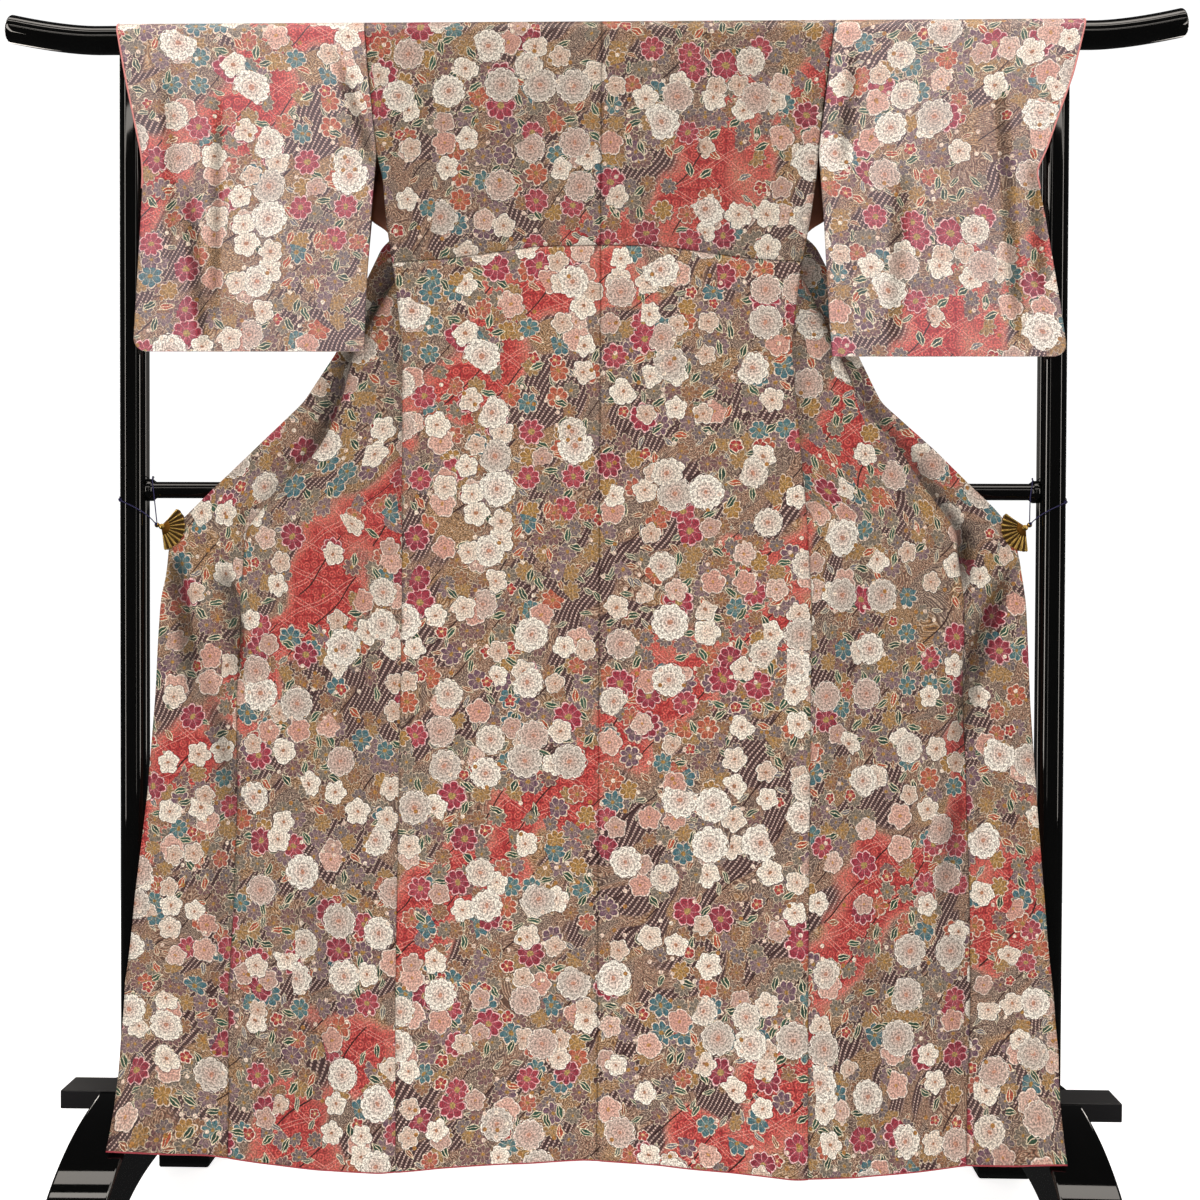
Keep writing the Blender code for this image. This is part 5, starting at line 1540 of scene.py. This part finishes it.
def raise_ribs(bm, pivot, start, front):
    """Draws out the ribs' tips, colours the fields in turn and lifts every other one."""
    for vert in bm.verts:
        step = round(fan_share(vert.co, pivot, start) * 2 * FAN_FIELDS)
        reach = math.hypot(vert.co.x - pivot[0], vert.co.z - pivot[1])
        if reach > FAN_RADIUS - 0.001 and step % 4 == 1:
            grown = FAN_TIP / reach
            vert.co.x = pivot[0] + (vert.co.x - pivot[0]) * grown
            vert.co.z = pivot[1] + (vert.co.z - pivot[1]) * grown
    ribs = {}
    for face in bm.faces:
        centre = face.calc_center_median()
        if abs(centre.y - front) < 1e-5:
            field = int(fan_share(centre, pivot, start) * FAN_FIELDS)
            face.material_index = field % 2
            if field % 2 == 0:
                ribs.setdefault(field, []).append(face)
    bmesh.ops.recalc_face_normals(bm, faces=bm.faces)
    for faces in ribs.values():
        bmesh.ops.inset_region(bm, faces=faces, thickness=RIB_INSET, depth=RIB_RISE, use_boundary=True)


def fan_clip(side):
    """A clip's plate: the leaf with its ribs, the darker heart, the heel and the rivet."""
    pivot_x, pivot_z, middle = CLIPS[side]
    pivot = (pivot_x, pivot_z)
    start = math.radians(middle) - FAN_OPENING / 2
    front = CLOTH_FRONT - GAP - FAN_PLATE
    bm = bmesh.new()
    fan_leaf(bm, pivot, start, FAN_HEART, FAN_RADIUS, front, front + FAN_PLATE, 2 * FAN_FIELDS)
    raise_ribs(bm, pivot, start, front)
    leaf = set(bm.faces)
    fan_leaf(bm, pivot, start, HEART_GAP, FAN_HEART - HEART_GAP, front - HEART_GAP, front + FAN_PLATE,
             HEART_STEPS)
    for face in set(bm.faces) - leaf:
        face.material_index = 2
    for radius, rise in ((FAN_HEEL, 0.0), (RIVET_RADIUS, RIVET_RISE)):
        rivet = bmesh.ops.create_uvsphere(bm, u_segments=20, v_segments=10, radius=radius)["verts"]
        bmesh.ops.scale(bm, vec=(1.0, RIVET_FLATNESS, 1.0), verts=rivet)
        bmesh.ops.translate(bm, vec=(pivot_x, front - rise, pivot_z), verts=rivet)
    materials = [brass, brass_dark, brass_heart]
    finished(bm, "fan_clip_" + side, ["clip_" + side + "_face"], materials, True)


print("fan fields", FAN_FIELDS)

# %% [markdown]
# Beside the heel a round bead takes the cord. The jaw behind the cloth and the pin through both
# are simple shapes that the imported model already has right, so those nodes only get the brass.

# %% Fan clips: beads, jaws and pins
BEAD_RADIUS, BEAD_DEPTH = 0.0035, -0.0188


def bead_centre(side):
    """The bead's place, beside the heel and away from the leaf."""
    pivot_x, pivot_z, middle = CLIPS[side]
    reach = FAN_HEEL + BEAD_RADIUS + GAP
    turn = math.radians(middle)
    return Vector((pivot_x - reach * math.cos(turn), BEAD_DEPTH, pivot_z - reach * math.sin(turn)))


for side_name in SIDES:
    fan_clip(side_name)
    bm = bmesh.new()
    ball = bmesh.ops.create_uvsphere(bm, u_segments=24, v_segments=14, radius=BEAD_RADIUS)["verts"]
    bmesh.ops.translate(bm, vec=bead_centre(side_name), verts=ball)
    finished(bm, "cord_bead_" + side_name, ["clip_" + side_name + "_bead"], [brass])
for name in ("clip_left_rear", "clip_right_rear", "clip_left_pin", "clip_right_pin"):
    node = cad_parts[name]
    node.data.materials.clear()
    node.data.materials.append(brass)
print("bead on the left at", [round(v, 3) for v in bead_centre("left")])

# %% [markdown]
# A thin braided cord is tied from each clip's bead over the rail's end and round the post, and
# back. It is tied at both ends, so its way is fixed, and a few measured places with a smooth
# curve through them are enough. Each knot is a trefoil, the simplest line that is truly tied.

# %% Cords
CORD_RADIUS, CORD_SIDES, KNOT_SIDES = 0.00075, 10, 8
CURVE_STEPS, KNOT_POINTS = 5, 37
POST_KNOT, BEAD_KNOT = 0.00065, 0.00060
# From the bead, over the rail, round the post and back: distance from the middle, depth, height.
CORD_ROUTE = [
    (0.601, -0.0225, 1.002), (0.6035, -0.0215, 1.036), (0.607, -0.0175, 1.054), (0.611, -0.006, 1.064),
    (0.615, 0.01, 1.064), (0.6235, 0.018, 1.059), (0.638, 0.0196, 1.05), (0.643, 0.0195, 1.0475),
    (0.6532, 0.0151, 1.043), (0.6575, 0.0045, 1.039), (0.6575, -0.0045, 1.036),
    (0.6532, -0.0151, 1.031), (0.643, -0.0195, 1.0262), (0.633, -0.0196, 1.0215),
    (0.618, -0.0205, 1.013), (0.609, -0.0212, 1.006), (0.605, -0.0215, 1.002)]
KNOT_AT_POST = (0.6536, -0.0156, 1.0312)
KNOT_ON_BEAD = Vector((0.0, -BEAD_RADIUS - 0.0006, 0.0018))


def flowing(points, between):
    """More points between the given ones, on a curve through all of them."""
    ends = [points[0]] + points + [points[-1]]
    line = []
    for before, first, second, after in zip(ends, ends[1:], ends[2:], ends[3:]):
        for i in range(between):
            t = i / between
            straight = 2 * first + (second - before) * t
            bend = (2 * before - 5 * first + 4 * second - after) * t * t
            twist = (3 * first - before - 3 * second + after) * t ** 3
            line.append(0.5 * (straight + bend + twist))
    return line + [points[-1]]


def knot_line(centre, size):
    """A small overhand knot: a trefoil seen from the front."""
    line = []
    for a in spaced(0.0, math.tau, KNOT_POINTS):
        across, up_down = math.sin(a) + 2 * math.sin(2 * a), math.cos(a) - 2 * math.cos(2 * a)
        line.append(centre + Vector((across, -math.sin(3 * a), up_down)) * size)
    return line


for side_name, sign in SIDES.items():
    bead = bead_centre(side_name)
    route = [Vector((sign * x, y, z)) for x, y, z in CORD_ROUTE]
    for end, near in ((0, 1), (-1, -2)):
        route[end] = bead + (route[near] - bead).normalized() * (BEAD_RADIUS + CORD_RADIUS)
    line = flowing(route, CURVE_STEPS)
    bm = bmesh.new()
    sweep(bm, line, CORD_RADIUS, CORD_SIDES)
    at_post = Vector((sign * KNOT_AT_POST[0], *KNOT_AT_POST[1:]))
    sweep(bm, knot_line(at_post, POST_KNOT), CORD_RADIUS, KNOT_SIDES)
    sweep(bm, knot_line(bead + KNOT_ON_BEAD, BEAD_KNOT), CORD_RADIUS, KNOT_SIDES)
    finished(bm, "cord_" + side_name, ["tether_" + side_name], [cord_braid])
    print("cord", side_name, round(sum((b - a).length for a, b in zip(line, line[1:])), 4), "m")

# %% [markdown]
# The photograph has a white ground without a horizon. A pale disc that gives off most of its
# own light takes soft shadows and still melts into a white world. The world is bright to the
# camera, dimmer as a light, and dark in reflections, so that the lacquer stays black.

# %% Floor and backdrop
FLOOR_RADIUS, FLOOR_SIDES, FLOOR_GLOW = 2.4, 64, 0.80
WORLD_LIGHT, WORLD_TO_CAMERA, WORLD_IN_REFLECTIONS = 0.24, 0.81, -0.20
bm = bmesh.new()
bmesh.ops.create_circle(bm, cap_ends=True, segments=FLOOR_SIDES, radius=FLOOR_RADIUS)
# Matt studio paper. It shows as an even white with only the feet's soft shadows.
floor_material, _, floor_shader = new_material("pale_floor")
floor_shader.inputs["Base Color"].default_value = linear("f4f4f4")
floor_shader.inputs["Roughness"].default_value = 0.8
floor_shader.inputs["Emission Color"].default_value = linear("ffffff")
floor_shader.inputs["Emission Strength"].default_value = FLOOR_GLOW
floor = to_object(bm, "floor", "floor", [floor_material])
floor.visible_glossy = False

bpy.context.scene.view_settings.view_transform = "Standard"
world = bpy.data.worlds.new("studio")
world.use_nodes = True
sky = world.node_tree
rays = put(sky, "LightPath").node.outputs
air = put(sky, TIMES_PLUS, rays["Is Glossy Ray"], WORLD_IN_REFLECTIONS, WORLD_LIGHT)
air = put(sky, TIMES_PLUS, rays["Is Camera Ray"], WORLD_TO_CAMERA, air)
sky.nodes["Background"].inputs["Color"].default_value = linear("ffffff")
sky.links.new(air, sky.nodes["Background"].inputs["Strength"])
bpy.context.scene.world = world
print("world to the camera", WORLD_LIGHT + WORLD_TO_CAMERA)

# %% [markdown]
# Soft light comes from all round, as from a photographer's softboxes. Each one is narrow in one
# direction, because lacquer shows the lamps themselves: upright strips draw the bright lines
# down the posts, and level banks draw those along the rod, the rail and the bar.

# %% Lights
# Name, place, what it faces, width, height, power in watts.
LIGHTS = [
    ("strip_left", (-3.0, -2.9, 1.5), (0.0, 0.0, 1.0), 0.34, 3.2, 36.0),
    ("strip_right", (3.2, -2.9, 1.5), (0.0, 0.0, 1.0), 0.34, 3.2, 31.0),
    ("strip_middle", (0.1, -4.4, 1.5), (0.0, 0.0, 1.0), 0.14, 3.2, 8.0),
    ("bank_upper", (0.0, -3.2, 3.12), (0.0, 0.0, 0.6), 5.6, 0.22, 20.0),
    ("bank_lower", (0.0, -3.5, 2.75), (0.0, 0.0, 0.6), 5.6, 0.1, 9.0),
    ("overhead_wide", (0.0, -0.27, 3.1), (0.0, -0.27, 0.0), 4.2, 0.44, 28.0),
    ("overhead_narrow", (0.0, -0.88, 3.1), (0.0, -0.88, 0.0), 4.2, 0.18, 15.0),
    ("top_soft", (0.0, -0.9, 4.2), (0.0, 0.0, 0.4), 3.0, 0.4, 14.0),
    ("rear_strip_left", (-2.6, 2.9, 1.5), (0.0, 0.0, 1.0), 0.34, 3.2, 22.0),
    ("rear_strip_right", (2.6, 2.9, 1.5), (0.0, 0.0, 1.0), 0.34, 3.2, 20.0),
    ("rear_soft", (0.0, 3.6, 1.9), (0.0, 0.0, 0.8), 3.6, 1.4, 3.0)]
for name, place, aim, wide, high_side, power in LIGHTS:
    light = bpy.data.lights.new(name, "AREA")
    light.shape = "RECTANGLE"
    light.size = wide
    light.size_y = high_side
    light.energy = power
    light.color = linear("fff7ee")[:3]
    lamp = bpy.data.objects.new(name, light)
    lamp.location = place
    lamp.rotation_euler = (Vector(aim) - Vector(place)).to_track_quat("-Z", "Y").to_euler()
    bpy.context.scene.collection.objects.link(lamp)
print("lights", len(LIGHTS))
